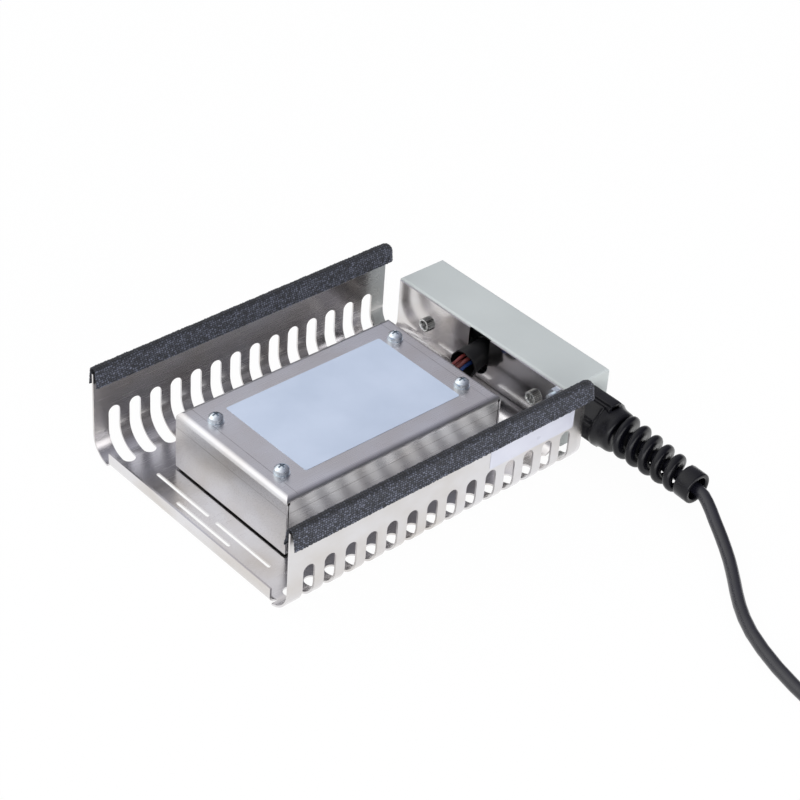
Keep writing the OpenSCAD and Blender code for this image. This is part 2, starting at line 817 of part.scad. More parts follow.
module wire_sleeve() {
    l = sleeve_x1 - sleeve_x0;
    color("black") part_frame() translate([sleeve_x0, 0, sleeve_z]) rotate([0, 90, 0]) difference() {
        cylinder(d = sleeve_d, h = l);
        translate([0, 0, -cut]) cylinder(d = sleeve_bore, h = l + 2 * cut);
    }
}

// Painted sheet box, open above a front lip where the end panel closes it
module connection_box() {
    h = box_top - box_lift;
    hole_w = grip_w;
    hole_h = grip_h;
    color("gainsboro") part_frame() difference() {
        translate([box_mid, 0, box_lift]) folded_box(box_d, box_w, h, box_r);
        translate([panel_x + box_t, -box_w / 2 + box_t, box_floor])
            cube([box_d - 2 * box_t, box_w - 2 * box_t, h - 2 * box_t]);
        translate([panel_x - cut, -box_w / 2 + box_t, lip_top])
            cube([box_t + 2 * cut, box_w - 2 * box_t, box_ceiling - lip_top]);
        translate([panel_x - cut, -lip_notch / 2, notch_z - box_t]) cube([box_t + 2 * cut, lip_notch, box_ceiling - notch_z + box_t]);
        at_panel_screws() translate([0, 0, sheet_t - cut]) cylinder(d = thread_hole, h = box_t + 2 * cut);
        translate([box_mid - hole_w / 2, -box_w / 2 - cut, gland_z - hole_h / 2])
            cube([hole_w, box_t + 2 * cut, hole_h]);
    }
}

module panel_screws() {
    color("silver") part_frame() at_panel_screws() mirror([0, 0, 1]) cap_screw(panel_screw_l);
}

module panel_nuts() {
    color("silver") part_frame() at_panel_screws() translate([0, 0, sheet_t + box_t]) hex_nut(nut_af, nut_h, thread_d);
}

// Places children on the ground stud's axis, at a place along the tray
module at_ground(x) {
    translate([x, ground_y, ground_z]) rotate([0, 90, 0]) children();
}

module ground_stud() {
    color("silver") part_frame() at_ground(panel_x - ground_l) cylinder(d = ground_d, h = ground_l);
}

module ground_lock_nut() {
    color("silver") part_frame() at_ground(panel_in - ground_nut_h) rotate([0, 0, 30])
        hex_nut(ground_af, ground_nut_h, ground_d);
}

module ground_nut() {
    color("silver") part_frame() at_ground(panel_in - 2 * ground_nut_h) rotate([0, 0, 30])
        hex_nut(ground_af, ground_nut_h, ground_d);
}

// Places children at the four clamps of the terminal block
module at_terminals() {
    for (i = [0:terminal_n - 1])
        translate([terminal_x + terminal_d / 2, (i - (terminal_n - 1) / 2) * terminal_step, 0]) children();
}

module terminal_block() {
    wall = 1.2;
    color("white") part_frame() difference() {
        translate([terminal_x, -terminal_l / 2, box_floor]) cube([terminal_d, terminal_l, terminal_h]);
        for (i = [1:terminal_n - 1])
            translate([terminal_x - cut, -terminal_l / 2 + i * terminal_step - wall / 2, terminal_z - wall])
                cube([terminal_d + 2 * cut, wall, wall + cut]);
        at_terminals() for (z = [lead_hole_z, core_hole_z])
            translate([-terminal_d / 2 - cut, 0, z]) rotate([0, 90, 0]) cylinder(d = wire_hole, h = wire_in + 2 * cut);
        at_terminals() translate([0, 0, terminal_z - terminal_screw_h]) cylinder(d = terminal_screw_d, h = terminal_screw_h + cut);
    }
}

module terminal_screws() {
    color("silver") part_frame() at_terminals() translate([0, 0, terminal_z - terminal_screw_h]) difference() {
        cylinder(d = terminal_screw_d, h = terminal_screw_h - terminal_slit);
        translate([-terminal_screw_d, -terminal_slit / 2, terminal_screw_h - 2 * terminal_slit])
            cube([2 * terminal_screw_d, terminal_slit, 2 * terminal_slit]);
    }
}

// Cores of the cord fanned out in lanes to the terminal block's lower holes
module cable_cores() {
    start = neck_y + 8.4;
    color("dimgray") part_frame() for (i = [0:terminal_n - 1]) {
        side_x = box_mid + (i < 2 ? core_side : -core_side);
        side_z = gland_z + (i % 2 == 0 ? -core_side : core_side);
        lane_x = terminal_x - core_lane * (i + 2);
        end_y = (i - (terminal_n - 1) / 2) * terminal_step;
        sweep_tube([
            [side_x, start, side_z], [side_x, start + 4, side_z],
            [(side_x + lane_x) / 2, start + 11, (side_z + core_hole_z) / 2], [lane_x, start + 18, core_hole_z + 1],
            [lane_x, start + 28, core_hole_z], [lane_x, end_y - 4, core_hole_z],
            [lane_x + core_lane, end_y - 0.6, core_hole_z], [terminal_x + wire_in, end_y, core_hole_z]], core_d_in, 8, 3);
    }
}

// Saddle that holds the cord inside the box
module cord_clamp() {
    w = 14;
    d = 6;
    play = 0.1;
    color("dimgray") part_frame() translate([box_mid - w / 2, neck_y + box_t + grip_lip + 1, box_floor]) difference() {
        cube([w, d, gland_z - box_floor + cord_d]);
        translate([w / 2, -cut, gland_z - box_floor]) rotate([-90, 0, 0])
            cylinder(d = cord_d + 2 * play, h = d + 2 * cut);
    }
}

// Plane outline of the boot's block: sloped shoulders above, small chamfers below
module neck_outline() {
    x = neck_w / 2;
    y = neck_h / 2;
    polygon([[-x + foot_c, -y], [x - foot_c, -y], [x, -y + foot_c], [x, y - shoulder], [x - shoulder, y],
        [-x + shoulder, y], [-x, y - shoulder], [-x, -y + foot_c]]);
}

// Half outline of the round body with its rounded rim
module body_outline() {
    r = body_d / 2 - body_rim;
    h = body_in + body_l - body_rim;
    square([body_d / 2, h]);
    square([r, h + body_rim]);
    translate([r, h]) circle(body_rim);
}

// Point on the spiral's middle line, a share of its length from the body
function spiral_at(k) =
    let (a = 360 * spiral_turns * k, r = (ring_d1 + (ring_d2 - ring_d1) * k - ring_t) / 2)
    [-r * sin(a), r * cos(a), spiral_z0 + spiral_turns * ring_p * k];

// Rubber boot: block clipped into the box wall, round body, open spiral and end collar round the cord
module strain_relief() {
    steps = round(spiral_turns * spiral_steps);
    x = neck_w / 2;
    color("black") part_frame() translate([box_mid, neck_y, gland_z]) difference() {
        union() {
            rotate([90, 0, 0]) linear_extrude(neck_l) neck_outline();
            for (w = [[crest_w, crest_h / 2], [crest_top_w, crest_h]])
                translate([-w[0] / 2, -neck_l, neck_h / 2 - cut]) cube([w[0], neck_l, w[1] + cut]);
            translate([-grip_w / 2, -cut, -grip_h / 2]) cube([grip_w, box_t + grip_lip + cut, grip_h]);
            translate([-grip_w / 2 - lip_over, box_t, -grip_h / 2 - lip_over])
                cube([grip_w + 2 * lip_over, grip_lip, grip_h + 2 * lip_over]);
            translate([0, -neck_l, 0]) rotate([90 + boot_droop, 0, 0]) {
                translate([0, 0, -body_in]) rotate_extrude() body_outline();
                sweep_tube([for (i = [0:steps]) spiral_at(i / steps)], ring_t, spiral_sides, 1);
                translate([0, 0, collar_z]) cylinder(d = collar_d, h = collar_l);
            }
        }
        rotate([90, 0, 0]) translate([0, 0, -box_t - grip_lip - cut])
            cylinder(d = neck_bore, h = neck_l + box_t + grip_lip + cut);
        translate([0, -neck_l, 0]) rotate([90 + boot_droop, 0, 0]) {
            translate([0, 0, -body_in]) cylinder(d = boot_bore, h = boot_l);
            translate([0, 0, collar_z - cut]) cylinder(d = collar_bore, h = collar_l + 2 * cut);
        }
        for (s = [-1, 1], z = latch_z)
            translate([s * x - latch_h, -neck_l + 1, z - latch_w / 2]) cube([2 * latch_h, latch_l, latch_w]);
    }
}

module cable() {
    color("black") sweep_tube(cord_route, cord_d, cord_sides, cord_steps);
}

// Plane outline of the coil's section, grown by g, radius along x
module coil_outline(g) {
    a = coil_half + g;
    b = coil_top_half + g;
    e = coil_edge;
    translate([coil_r, 0]) polygon([
        [-a + e, -g], [a - e, -g], [a, e - g], [a, cord_d - e + g], [b, coil_h - e + g], [b - e, coil_h + g],
        [-b + e, coil_h + g], [-b, coil_h - e + g], [-a, cord_d - e + g], [-a, e - g]]);
}

module cable_coil() {
    color("black") translate([coil_at.x, coil_at.y, tie_t]) rotate_extrude() coil_outline(0);
}

// Strap round the coil's section at the side away from the tray
module coil_tie() {
    play = 0.4;
    color("dimgray") translate([coil_at.x - tie_w / 2, coil_at.y, tie_t]) mirror([0, 1, 0]) along_x(tie_w)
        difference() {
            intersection() {
                coil_outline(play + tie_t);
                translate([0, -tie_t]) square([2 * coil_r, coil_h + play + 2 * tie_t]);
            }
            intersection() {
                coil_outline(play);
                square([2 * coil_r, coil_h + 2 * play]);
            }
        }
}

module cable_tail() {
    color("black") sweep_tube(tail_route, cord_d, cord_sides, cord_steps);
}

// Places the plug's outline, drawn as radius and distance, along its axis
module plug_turn() {
    translate(plug_at) rotate([-90, 0, 0]) rotate_extrude() children();
}

module plug_boot() {
    color("black") plug_turn() difference() {
        polygon([[0, 0], [plug_boot_d1 / 2, 0], [plug_boot_d2 / 2, plug_boot_l], [0, plug_boot_l]]);
        translate([0, -cut]) square([cord_rest, plug_grip + cut]);
    }
}

// Metal shell: gripped rear, ring seat, retaining flange and nose with its contact well
module plug_shell() {
    color("dimgray") difference() {
        plug_turn() difference() {
            union() {
                translate([0, shell_seat]) square([shell_d / 2, shell_l]);
                translate([0, shell_seat]) square([seat_d / 2, shell_l + seat_l]);
                translate([0, nose_y - flange_l]) square([flange_d / 2, flange_l]);
                translate([0, shell_seat]) square([nose_d / 2, nose_y + nose_l - shell_seat]);
            }
            translate([0, nose_y + nose_l - insert_l - pin_l]) square([nose_bore / 2, insert_l + pin_l + cut]);
        }
        translate(plug_at) rotate([-90, 0, 0]) for (i = [0:grip_groove_n - 1])
            rotate([0, 0, (i + 0.5) * 360 / grip_groove_n]) translate([shell_d / 2 + grip_groove_d / 4, 0, shell_seat + shell_l / 4])
                cylinder(d = grip_groove_d, h = shell_l / 2);
    }
}

module plug_insert() {
    color("black") plug_turn() translate([0, nose_y + nose_l - insert_l - pin_l]) square([nose_bore / 2, insert_l]);
}

module plug_pins() {
    color("gold") translate(plug_at) rotate([-90, 0, 0]) for (i = [0:pin_n - 1])
        rotate([0, 0, i * 360 / pin_n]) translate([pin_ring / 2, 0, nose_y + nose_l - pin_l]) cylinder(d = pin_d, h = pin_l - 1);
}

// Locking ring that turns on the shell's seat
module plug_ring() {
    chamfer = 0.8;
    bore = seat_d / 2 + locking_fit;
    color("silver") plug_turn() translate([0, ring_y]) polygon([
        [bore, 0], [locking_d / 2 - chamfer, 0], [locking_d / 2, chamfer], [locking_d / 2, locking_l - chamfer],
        [locking_d / 2 - chamfer, locking_l], [bore, locking_l]]);
}

tray();
edge_trim_near();
edge_trim_far();
heater_cover();
cover_screws();
cover_spring_washers();
cover_washers();
rating_label();
side_sticker();
heating_plate();
heater_element();
pressure_plate();
clamp_screws();
insulation_pad();
cover_standoffs();
temperature_sensor();
lead_bush();
red_leads();
brown_lead();
blue_lead();
wire_sleeve();
connection_box();
panel_screws();
panel_nuts();
ground_stud();
ground_lock_nut();
ground_nut();
terminal_block();
terminal_screws();
cable_cores();
cord_clamp();
strain_relief();
cable();
cable_coil();
coil_tie();
cable_tail();
plug_boot();
plug_shell();
plug_insert();
plug_pins();
plug_ring();
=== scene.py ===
import math

import bmesh
import bpy
from mathutils import Matrix, Vector, noise


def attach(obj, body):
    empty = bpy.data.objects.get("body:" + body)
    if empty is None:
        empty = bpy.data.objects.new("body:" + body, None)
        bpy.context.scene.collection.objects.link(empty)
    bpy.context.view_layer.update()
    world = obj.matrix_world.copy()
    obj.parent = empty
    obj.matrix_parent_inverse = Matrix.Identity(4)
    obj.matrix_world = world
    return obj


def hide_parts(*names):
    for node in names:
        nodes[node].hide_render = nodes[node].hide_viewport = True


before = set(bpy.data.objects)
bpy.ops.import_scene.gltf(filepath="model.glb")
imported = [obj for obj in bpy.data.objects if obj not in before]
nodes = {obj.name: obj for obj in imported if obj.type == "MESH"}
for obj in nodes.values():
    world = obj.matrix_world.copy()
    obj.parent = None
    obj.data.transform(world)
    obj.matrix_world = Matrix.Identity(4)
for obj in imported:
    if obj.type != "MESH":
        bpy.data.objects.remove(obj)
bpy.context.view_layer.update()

scene = bpy.context.scene
MM = 0.001
BODY = "preheater"


# Camera
def aim_camera():
    """The photograph's own viewpoint: a long lens held slightly rolled."""
    azimuth, elevation, roll = (math.radians(a) for a in (-44.064, 36.448, 4.327))
    distance = 1095.4 * MM
    target = Vector((24.89, 0.97, 17.5)) * MM
    back = Vector((
        math.sin(azimuth) * math.cos(elevation),
        -math.cos(azimuth) * math.cos(elevation),
        math.sin(elevation),
    ))
    right = (-back).cross(Vector((0, 0, 1))).normalized()
    up = right.cross(-back)
    across = math.cos(roll) * right + math.sin(roll) * up
    above = math.cos(roll) * up - math.sin(roll) * right
    data = bpy.data.cameras.new("photo_camera")
    data.sensor_width = 36
    data.lens = 101.89
    data.clip_start, data.clip_end = 0.05, 50
    camera = bpy.data.objects.new("photo_camera", data)
    turn = Matrix((across, above, back)).transposed().to_4x4()
    camera.matrix_world = Matrix.Translation(target + back * distance) @ turn
    scene.collection.objects.link(camera)
    scene.camera = camera


aim_camera()


# Small helpers shared by every piece and finish
def linear(hex_colour):
    """A colour written as sRGB hex, turned to linear RGBA."""
    channels = [int(hex_colour[i:i + 2], 16) / 255 for i in (1, 3, 5)]
    return tuple(c / 12.92 if c <= 0.04045 else ((c + 0.055) / 1.055) ** 2.4 for c in channels) + (1.0,)


def add(tree, kind, links=None, **settings):
    """Adds one node: links maps its inputs to values or to other nodes' outputs."""
    node = tree.nodes.new(kind)
    for name, value in settings.items():
        setattr(node, name, value)
    for name, value in (links or {}).items():
        socket = node.inputs[name]
        if isinstance(value, bpy.types.NodeSocket):
            tree.links.new(value, socket)
        else:
            socket.default_value = value
    return node


def calc(tree, operation, *values):
    """The result of one maths node over values or other nodes' outputs."""
    return add(tree, "ShaderNodeMath", dict(enumerate(values)), operation=operation).outputs[0]


def new_material(name):
    """An empty node material with its output, ready for a surface."""
    material = bpy.data.materials.new(name)
    material.use_nodes = True
    tree = material.node_tree
    tree.nodes.clear()
    return material, tree, add(tree, "ShaderNodeOutputMaterial")


def new_finish(name, sockets):
    """A material with one surface shader, and Object coordinates to lay its patterns out in."""
    material, tree, out = new_material(name)
    shader = add(tree, "ShaderNodeBsdfPrincipled", sockets)
    tree.links.new(shader.outputs[0], out.inputs["Surface"])
    return material, tree, shader, add(tree, "ShaderNodeTexCoord").outputs["Object"]


def grain(tree, place, size_mm, detail=3.0):
    """Noise whose spots have the given size along each axis, in millimetres."""
    spread = add(tree, "ShaderNodeMapping", {"Vector": place, "Scale": [1000 / s for s in size_mm]})
    spots = add(tree, "ShaderNodeTexNoise", {"Vector": spread.outputs[0], "Scale": 1.0, "Detail": detail})
    return spots.outputs["Fac"]


def tones(tree, share, *stops):
    """A colour ramp through (position, hex) stops."""
    ramp = add(tree, "ShaderNodeValToRGB", {"Fac": share})
    while len(ramp.color_ramp.elements) < len(stops):
        ramp.color_ramp.elements.new(0.5)
    for element, (position, colour) in zip(ramp.color_ramp.elements, stops):
        element.position, element.color = position, linear(colour)
    return ramp.outputs["Color"]


def blend(tree, share, first, second):
    """One colour that turns into another as the share goes from 0 to 1."""
    return add(tree, "ShaderNodeMix", {0: share, 6: first, 7: second}, data_type="RGBA").outputs[2]


def spread_between(tree, value, low, high):
    """Noise's usual 0.3 to 0.7 stretched over a range, for roughness."""
    return add(tree, "ShaderNodeMapRange", {0: value, 1: 0.3, 2: 0.7, 3: low, 4: high}).outputs[0]


def relief(tree, shader, height, depth_mm):
    """Lets a pattern's heights catch the light."""
    bump = add(tree, "ShaderNodeBump", {"Height": height, "Distance": depth_mm * MM, "Strength": 1.0})
    tree.links.new(bump.outputs[0], shader.inputs["Normal"])


def keep_as(obj, *replaced, body=BODY, slot=None):
    """Lets a finished piece ride on its body and stand for CAD nodes; its slot is not used."""
    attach(obj, body)
    if replaced:
        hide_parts(*replaced)
    return obj


def verts_of(geom):
    """The corners among what a mesh operator returns."""
    return [g for g in geom if isinstance(g, bmesh.types.BMVert)]


def mesh_piece(name, shape, material, smooth=True):
    """Turns a finished bmesh into an object at the origin."""
    mesh = bpy.data.meshes.new(name)
    for face in shape.faces:
        face.smooth = smooth
    shape.to_mesh(mesh)
    shape.free()
    mesh.materials.append(material)
    piece = bpy.data.objects.new(name, mesh)
    scene.collection.objects.link(piece)
    return piece


def tube_piece(name, lines, diameter, material):
    """Round tubes along lines of points in metres, their diameter in millimetres."""
    curve = bpy.data.curves.new(name, "CURVE")
    curve.dimensions = "3D"
    curve.bevel_depth = diameter / 2 * MM
    curve.bevel_resolution = 6
    curve.use_fill_caps = True
    for line in lines:
        spline = curve.splines.new("POLY")
        spline.points.add(len(line) - 1)
        for i, place in enumerate(line):
            spline.points[i].co = (*place, 1)
            spline.points[i].radius = 1.0
        spline.use_smooth = True
    curve.materials.append(material)
    piece = bpy.data.objects.new(name, curve)
    scene.collection.objects.link(piece)
    return piece


# Finishes
# The cover's middle along X, the height above which its top face begins, and the lines beside its bends:
# their distance from the middle, their height on its sides and their half width
COVER_MID_X, COVER_TOP_FACE = -14.55, 33.2
BEND_LINE_X, BEND_LINE_Z, BEND_LINE_HALF = 58.55, 25.2, 0.2
# Where the tray's roughness changes: axis, start and end in millimetres, and the roughness added
NEAR_WALL_WEAR = (1, -71.4, -71.9, 0.1)
PANEL_POLISH = (0, 72.0, 75.0, -0.12)


def bend_lines(tree, place):
    """Share of the thin lines that the folding tool's edge leaves beside the cover's bends, worn in places."""
    axes = add(tree, "ShaderNodeSeparateXYZ", {0: place}).outputs
    on_top = calc(tree, "GREATER_THAN", axes[2], COVER_TOP_FACE * MM)
    from_middle = calc(tree, "ABSOLUTE", calc(tree, "SUBTRACT", axes[0], COVER_MID_X * MM))
    across_top = calc(tree, "COMPARE", from_middle, BEND_LINE_X * MM, BEND_LINE_HALF * MM)
    round_sides = calc(tree, "COMPARE", axes[2], BEND_LINE_Z * MM, BEND_LINE_HALF * MM)
    both = calc(tree, "MAXIMUM", calc(tree, "MULTIPLY", across_top, on_top), round_sides)
    return calc(tree, "MULTIPLY", both, grain(tree, place, (9, 9, 9)))


def rolled_stainless(name, light, dark, smooth, dull, marks=False):
    """Cold-rolled stainless sheet: a dulled mirror with fine rolling lines along the tray and faint smudges.

    With marks it is the heater cover's sheet, without them the tray's."""
    material, tree, shader, place = new_finish(name, {"Metallic": 1.0, "Anisotropic": 0.6})
    # Reflections smear across the rolling lines, which run along X
    across = add(tree, "ShaderNodeTangent", direction_type="RADIAL", axis="X")
    tree.links.new(across.outputs[0], shader.inputs["Tangent"])
    # Real rolling lines are about 0.05 mm wide, drawn 0.35 mm wide so that they show
    lines = grain(tree, place, (25, 0.35, 0.35), 2.0)
    smudges = grain(tree, place, (38, 30, 24), 4.0)
    colour = tones(tree, smudges, (0.35, dark), (0.62, light))
    rough = spread_between(tree, lines, smooth, dull)
    if marks:
        colour = blend(tree, bend_lines(tree, place), colour, linear("#7C7979"))
    else:
        # The outside of the near wall is dulled by handling, the upright panel keeps its mill polish
        axes = add(tree, "ShaderNodeSeparateXYZ", {0: place}).outputs
        for axis, start, end, change in (NEAR_WALL_WEAR, PANEL_POLISH):
            part = add(tree, "ShaderNodeMapRange", {0: axes[axis], 1: start * MM, 2: end * MM, 3: 0.0, 4: change})
            rough = calc(tree, "ADD", rough, part.outputs[0])
    tree.links.new(colour, shader.inputs["Base Color"])
    tree.links.new(rough, shader.inputs["Roughness"])
    relief(tree, shader, lines, 0.002)
    return material


def plated_metal(name, light, dark, roughness, spot_mm, painted_shade=False):
    """Plated or milled metal: bright, with small uneven spots left by the bath or the cutter.

    A knurl and its dish can be given painted shade, laid on by a vertex attribute."""
    material, tree, shader, place = new_finish(name, {"Metallic": 1.0})
    spots = grain(tree, place, (spot_mm, spot_mm, spot_mm))
    colour = tones(tree, spots, (0.3, dark), (0.7, light))
    if painted_shade:
        # Painted shade: the knurl's side and the dish blend towards dark grey by the attribute's share
        painted_hollow_shade = add(tree, "ShaderNodeAttribute", attribute_name="painted_hollow_shade").outputs["Fac"]
        colour = blend(tree, painted_hollow_shade, colour, linear("#2A2A28"))
    tree.links.new(colour, shader.inputs["Base Color"])
    tree.links.new(spread_between(tree, spots, roughness * 0.8, roughness * 1.25), shader.inputs["Roughness"])
    relief(tree, shader, spots, 0.01)
    return material


def moulded(name, light, dark, roughness, grain_mm, depth_mm, ior=1.5, shine=0.5):
    """Moulded or extruded plastic and rubber: one colour, hardly varied, with the mould's fine grain."""
    material, tree, shader, place = new_finish(name, {"IOR": ior, "Specular IOR Level": shine})
    spots = grain(tree, place, (grain_mm, grain_mm, grain_mm))
    clouds = grain(tree, place, (14, 14, 14))
    tree.links.new(tones(tree, clouds, (0.3, dark), (0.7, light)), shader.inputs["Base Color"])
    rough = spread_between(tree, spots, roughness * 0.85, roughness * 1.15)
    tree.links.new(rough, shader.inputs["Roughness"])
    relief(tree, shader, spots, depth_mm)
    return material


def braided_edging():
    """Braided glass-fibre edging: dark slate yarn, with painted highlights on the loops' tips and painted shade
    in the gaps between.
    """
    material, tree, shader, place = new_finish(
        "braided_edging", {"Roughness": 0.82, "IOR": 1.5, "Sheen Weight": 0.15})
    loops = add(tree, "ShaderNodeAttribute", attribute_name="loop_height_and_shade").outputs["Fac"]
    # Single fibres are far finer, drawn 0.25 mm thick so that they show
    fibres = grain(tree, place, (0.25, 0.25, 0.25))
    # Painted light: low loops give the gaps painted shade, high loops give the tips painted highlights
    mixed = calc(tree, "MULTIPLY_ADD", fibres, 0.3, loops)
    colour = tones(tree, mixed, (0.3, "#05060A"), (0.6, "#2B2E37"), (0.95, "#606472"))
    tree.links.new(colour, shader.inputs["Base Color"])
    relief(tree, shader, fibres, 0.15)
    return material


def label_foil():
    """Satin label foil: silvery pale blue, slightly metallic, with a faint cloudy sheen."""
    material, tree, shader, place = new_finish("label_foil", {"Metallic": 0.25, "IOR": 1.5})
    clouds = grain(tree, place, (30, 30, 30))
    specks = grain(tree, place, (0.4, 0.4, 0.4))
    tree.links.new(tones(tree, clouds, (0.3, "#BECBDD"), (0.7, "#CAD6E7")), shader.inputs["Base Color"])
    tree.links.new(spread_between(tree, specks, 0.38, 0.5), shader.inputs["Roughness"])
    relief(tree, shader, specks, 0.004)
    return material


def sticker_film():
    """Glossy vinyl film: bluish white with a soft skin."""
    material, tree, shader, place = new_finish("sticker_film", {"IOR": 1.53})
    clouds = grain(tree, place, (18, 18, 18))
    tree.links.new(tones(tree, clouds, (0.3, "#BBBDC8"), (0.7, "#C3C5CF")), shader.inputs["Base Color"])
    tree.links.new(spread_between(tree, clouds, 0.26, 0.34), shader.inputs["Roughness"])
    relief(tree, shader, clouds, 0.02)
    return material


def powder_coat():
    """Powder-coated sheet: matte pale grey-green with a fine orange-peel skin."""
    material, tree, shader, place = new_finish("powder_coat", {"IOR": 1.5})
    # Orange peel is about 0.6 mm from hump to hump, drawn 0.9 mm so that it shows
    peel = grain(tree, place, (0.9, 0.9, 0.9), 1.0)
    clouds = grain(tree, place, (40, 40, 40))
    tree.links.new(tones(tree, clouds, (0.3, "#B6BCBA"), (0.7, "#BEC4C2")), shader.inputs["Base Color"])
    tree.links.new(spread_between(tree, peel, 0.42, 0.55), shader.inputs["Roughness"])
    relief(tree, shader, peel, 0.012)
    return material


def fibre_board():
    """Pressed ceramic fibre: chalky ivory with matted fibres."""
    material, tree, shader, place = new_finish("fibre_board", {"Roughness": 0.95, "IOR": 1.45})
    fibres = grain(tree, place, (3, 0.4, 0.8))
    tree.links.new(tones(tree, fibres, (0.3, "#CFC7B4"), (0.7, "#E9E3D4")), shader.inputs["Base Color"])
    relief(tree, shader, fibres, 0.2)
    return material


def mica_sheet():
    """Pressed mica: warm grey flakes with a pearly gloss."""
    material, tree, shader, place = new_finish("mica_sheet", {"IOR": 1.58})
    spread = add(tree, "ShaderNodeMapping", {"Vector": place, "Scale": (350, 350, 350)})
    cells = add(tree, "ShaderNodeTexVoronoi", {"Vector": spread.outputs[0], "Scale": 1.0})
    flakes = cells.outputs["Distance"]
    tree.links.new(tones(tree, flakes, (0.1, "#B59F7C"), (0.8, "#8E7854")), shader.inputs["Base Color"])
    tree.links.new(spread_between(tree, flakes, 0.25, 0.5), shader.inputs["Roughness"])
    relief(tree, shader, flakes, 0.03)
    return material


STAINLESS = rolled_stainless("rolled_stainless", "#CDCCCE", "#C2BEBB", 0.2, 0.28)
COVER_STAINLESS = rolled_stainless("folded_stainless_cover", "#C8C8CB", "#BFBCBB", 0.26, 0.33, marks=True)
BRAID = braided_edging()
FOIL = label_foil()
FILM = sticker_film()
PAINT = powder_coat()
ZINC = plated_metal("zinc_plated_steel", "#D5DBE0", "#B9C1C8", 0.2, 1.2)
# Zinc for the panel screws, carrying painted shade in their knurl and dish
SHADED_ZINC = plated_metal("zinc_plated_steel_painted_shade", "#E2E4E2", "#C8CAC8", 0.22, 1.2, painted_shade=True)
STEEL = plated_metal("bright_steel", "#C4C3C1", "#ABAAA8", 0.3, 1.5)
NICKEL = plated_metal("nickel_plated_brass", "#CBC6BC", "#B7B2A8", 0.22, 1.0)
BRASS = plated_metal("turned_brass", "#D2B36A", "#B8964C", 0.28, 1.0)
GOLD = plated_metal("gold_plated_contact", "#E0B858", "#C89B3E", 0.2, 0.5)
ALUMINIUM = plated_metal("milled_aluminium", "#C9CBCD", "#AFB1B4", 0.38, 2.0)
RUBBER = moulded("moulded_black_rubber", "#090910", "#06060A", 0.29, 0.35, 0.01, shine=0.25)
CORD_SKIN = moulded("extruded_black_pvc", "#16161F", "#101017", 0.3, 0.8, 0.002, 1.53)
SLEEVE_SKIN = moulded("varnished_black_sleeve", "#08080A", "#050506", 0.5, 0.6, 0.05, shine=0.25)
PLUG_PLASTIC = moulded("moulded_black_polyamide", "#1F1F22", "#161618", 0.5, 0.4, 0.012, 1.53)
GREY_PLASTIC = moulded("moulded_grey_polyamide", "#55575A", "#484A4D", 0.5, 0.4, 0.012, 1.53)
WHITE_PLASTIC = moulded("moulded_white_polyamide", "#E2E0D8", "#D4D1C8", 0.45, 0.4, 0.012, 1.53)
RED_SILICONE = moulded("red_silicone_insulation", "#7E3634", "#642828", 0.5, 0.5, 0.01, 1.41)
BROWN_SILICONE = moulded("dark_red_silicone_insulation", "#6A302C", "#542422", 0.45, 0.5, 0.01, 1.41)
BLUE_SILICONE = moulded("blue_silicone_insulation", "#304E8C", "#243C72", 0.45, 0.5, 0.01, 1.41)

FINISHES = {
    STAINLESS: ("tray", "temperature_sensor"),
    COVER_STAINLESS: ("heater_cover",),
    ZINC: (
        "cover_screws", "cover_spring_washers", "cover_washers", "panel_nuts", "ground_stud",
        "ground_lock_nut", "ground_nut", "clamp_screws", "terminal_screws"),
    STEEL: ("pressure_plate",),
    ALUMINIUM: ("heating_plate",),
    BRASS: ("cover_standoffs",),
    GOLD: ("plug_pins",),
    NICKEL: ("plug_ring",),
    PAINT: ("connection_box",),
    mica_sheet(): ("heater_element",),
    fibre_board(): ("insulation_pad",),
    RUBBER: ("lead_bush", "plug_boot"),
    WHITE_PLASTIC: ("terminal_block",),
    GREY_PLASTIC: ("cord_clamp", "cable_cores"),
    PLUG_PLASTIC: ("plug_shell", "plug_insert", "coil_tie"),
}
for finish, dressed in FINISHES.items():
    for name in dressed:
        mesh = nodes[name].data
        mesh.materials.clear()
        mesh.materials.append(finish)


# Cord: the route of the CAD source, then the stored turns one by one
CORD_D = 6.2
BOOT_X, GLAND_Z, BOX_END = 90.4, 20.0, -60.0
NECK_L, BOOT_L, DROOP = 16.0, 58.615, math.radians(2.7)
CORD_EXIT = (BOOT_X, BOX_END, GLAND_Z)
# Steps along X and Y from the boot's mouth, and the share of the mouth's height that is left
CORD_PATH = (
    (-1.8, -8.1, 0.87), (-4.9, -16.2, 0.59), (-8.5, -24.6, 0.345), (-14.4, -35, 0.135), (-22, -45, 0.035),
    (-32, -57.3, 0), (-41.5, -72.7, 0), (-49.5, -94.7, 0), (-54.5, -119.7, 0), (-56.5, -143.4, 0.042),
    (-56.5, -159.4, 0.042),
)
COIL_R, COIL_FLOOR, COIL_TURNS = 34.0, 3.7, 4.5
TAIL_L, PLUG_Z, PLUG_GRIP = 30, 10.0, 8.0


def on_boot_axis(run):
    """A point on the drooping boot's axis, in millimetres from its block."""
    return (BOOT_X, BOX_END - NECK_L - run * math.cos(DROOP), GLAND_Z - run * math.sin(DROOP))


BOOT_MOUTH = on_boot_axis(BOOT_L)
COIL_AT = (BOOT_MOUTH[0] + CORD_PATH[-1][0] + COIL_R + CORD_D, BOOT_MOUTH[1] + CORD_PATH[-1][1])
PLUG_AT = (COIL_AT[0] + COIL_R + CORD_D / 2, COIL_AT[1] + TAIL_L, PLUG_Z)


def eased(t):
    """A soft step from 0 to 1."""
    t = min(max(t, 0.0), 1.0)
    return t * t * (3 - 2 * t)


def lower_radius(turns):
    """Radius of the lower layer after so many turns.

    It steps in by one cord in the last ninth of each turn."""
    whole = math.floor(turns)
    return COIL_R + CORD_D * (1 - whole - eased((turns - whole - 8 / 9) * 9))


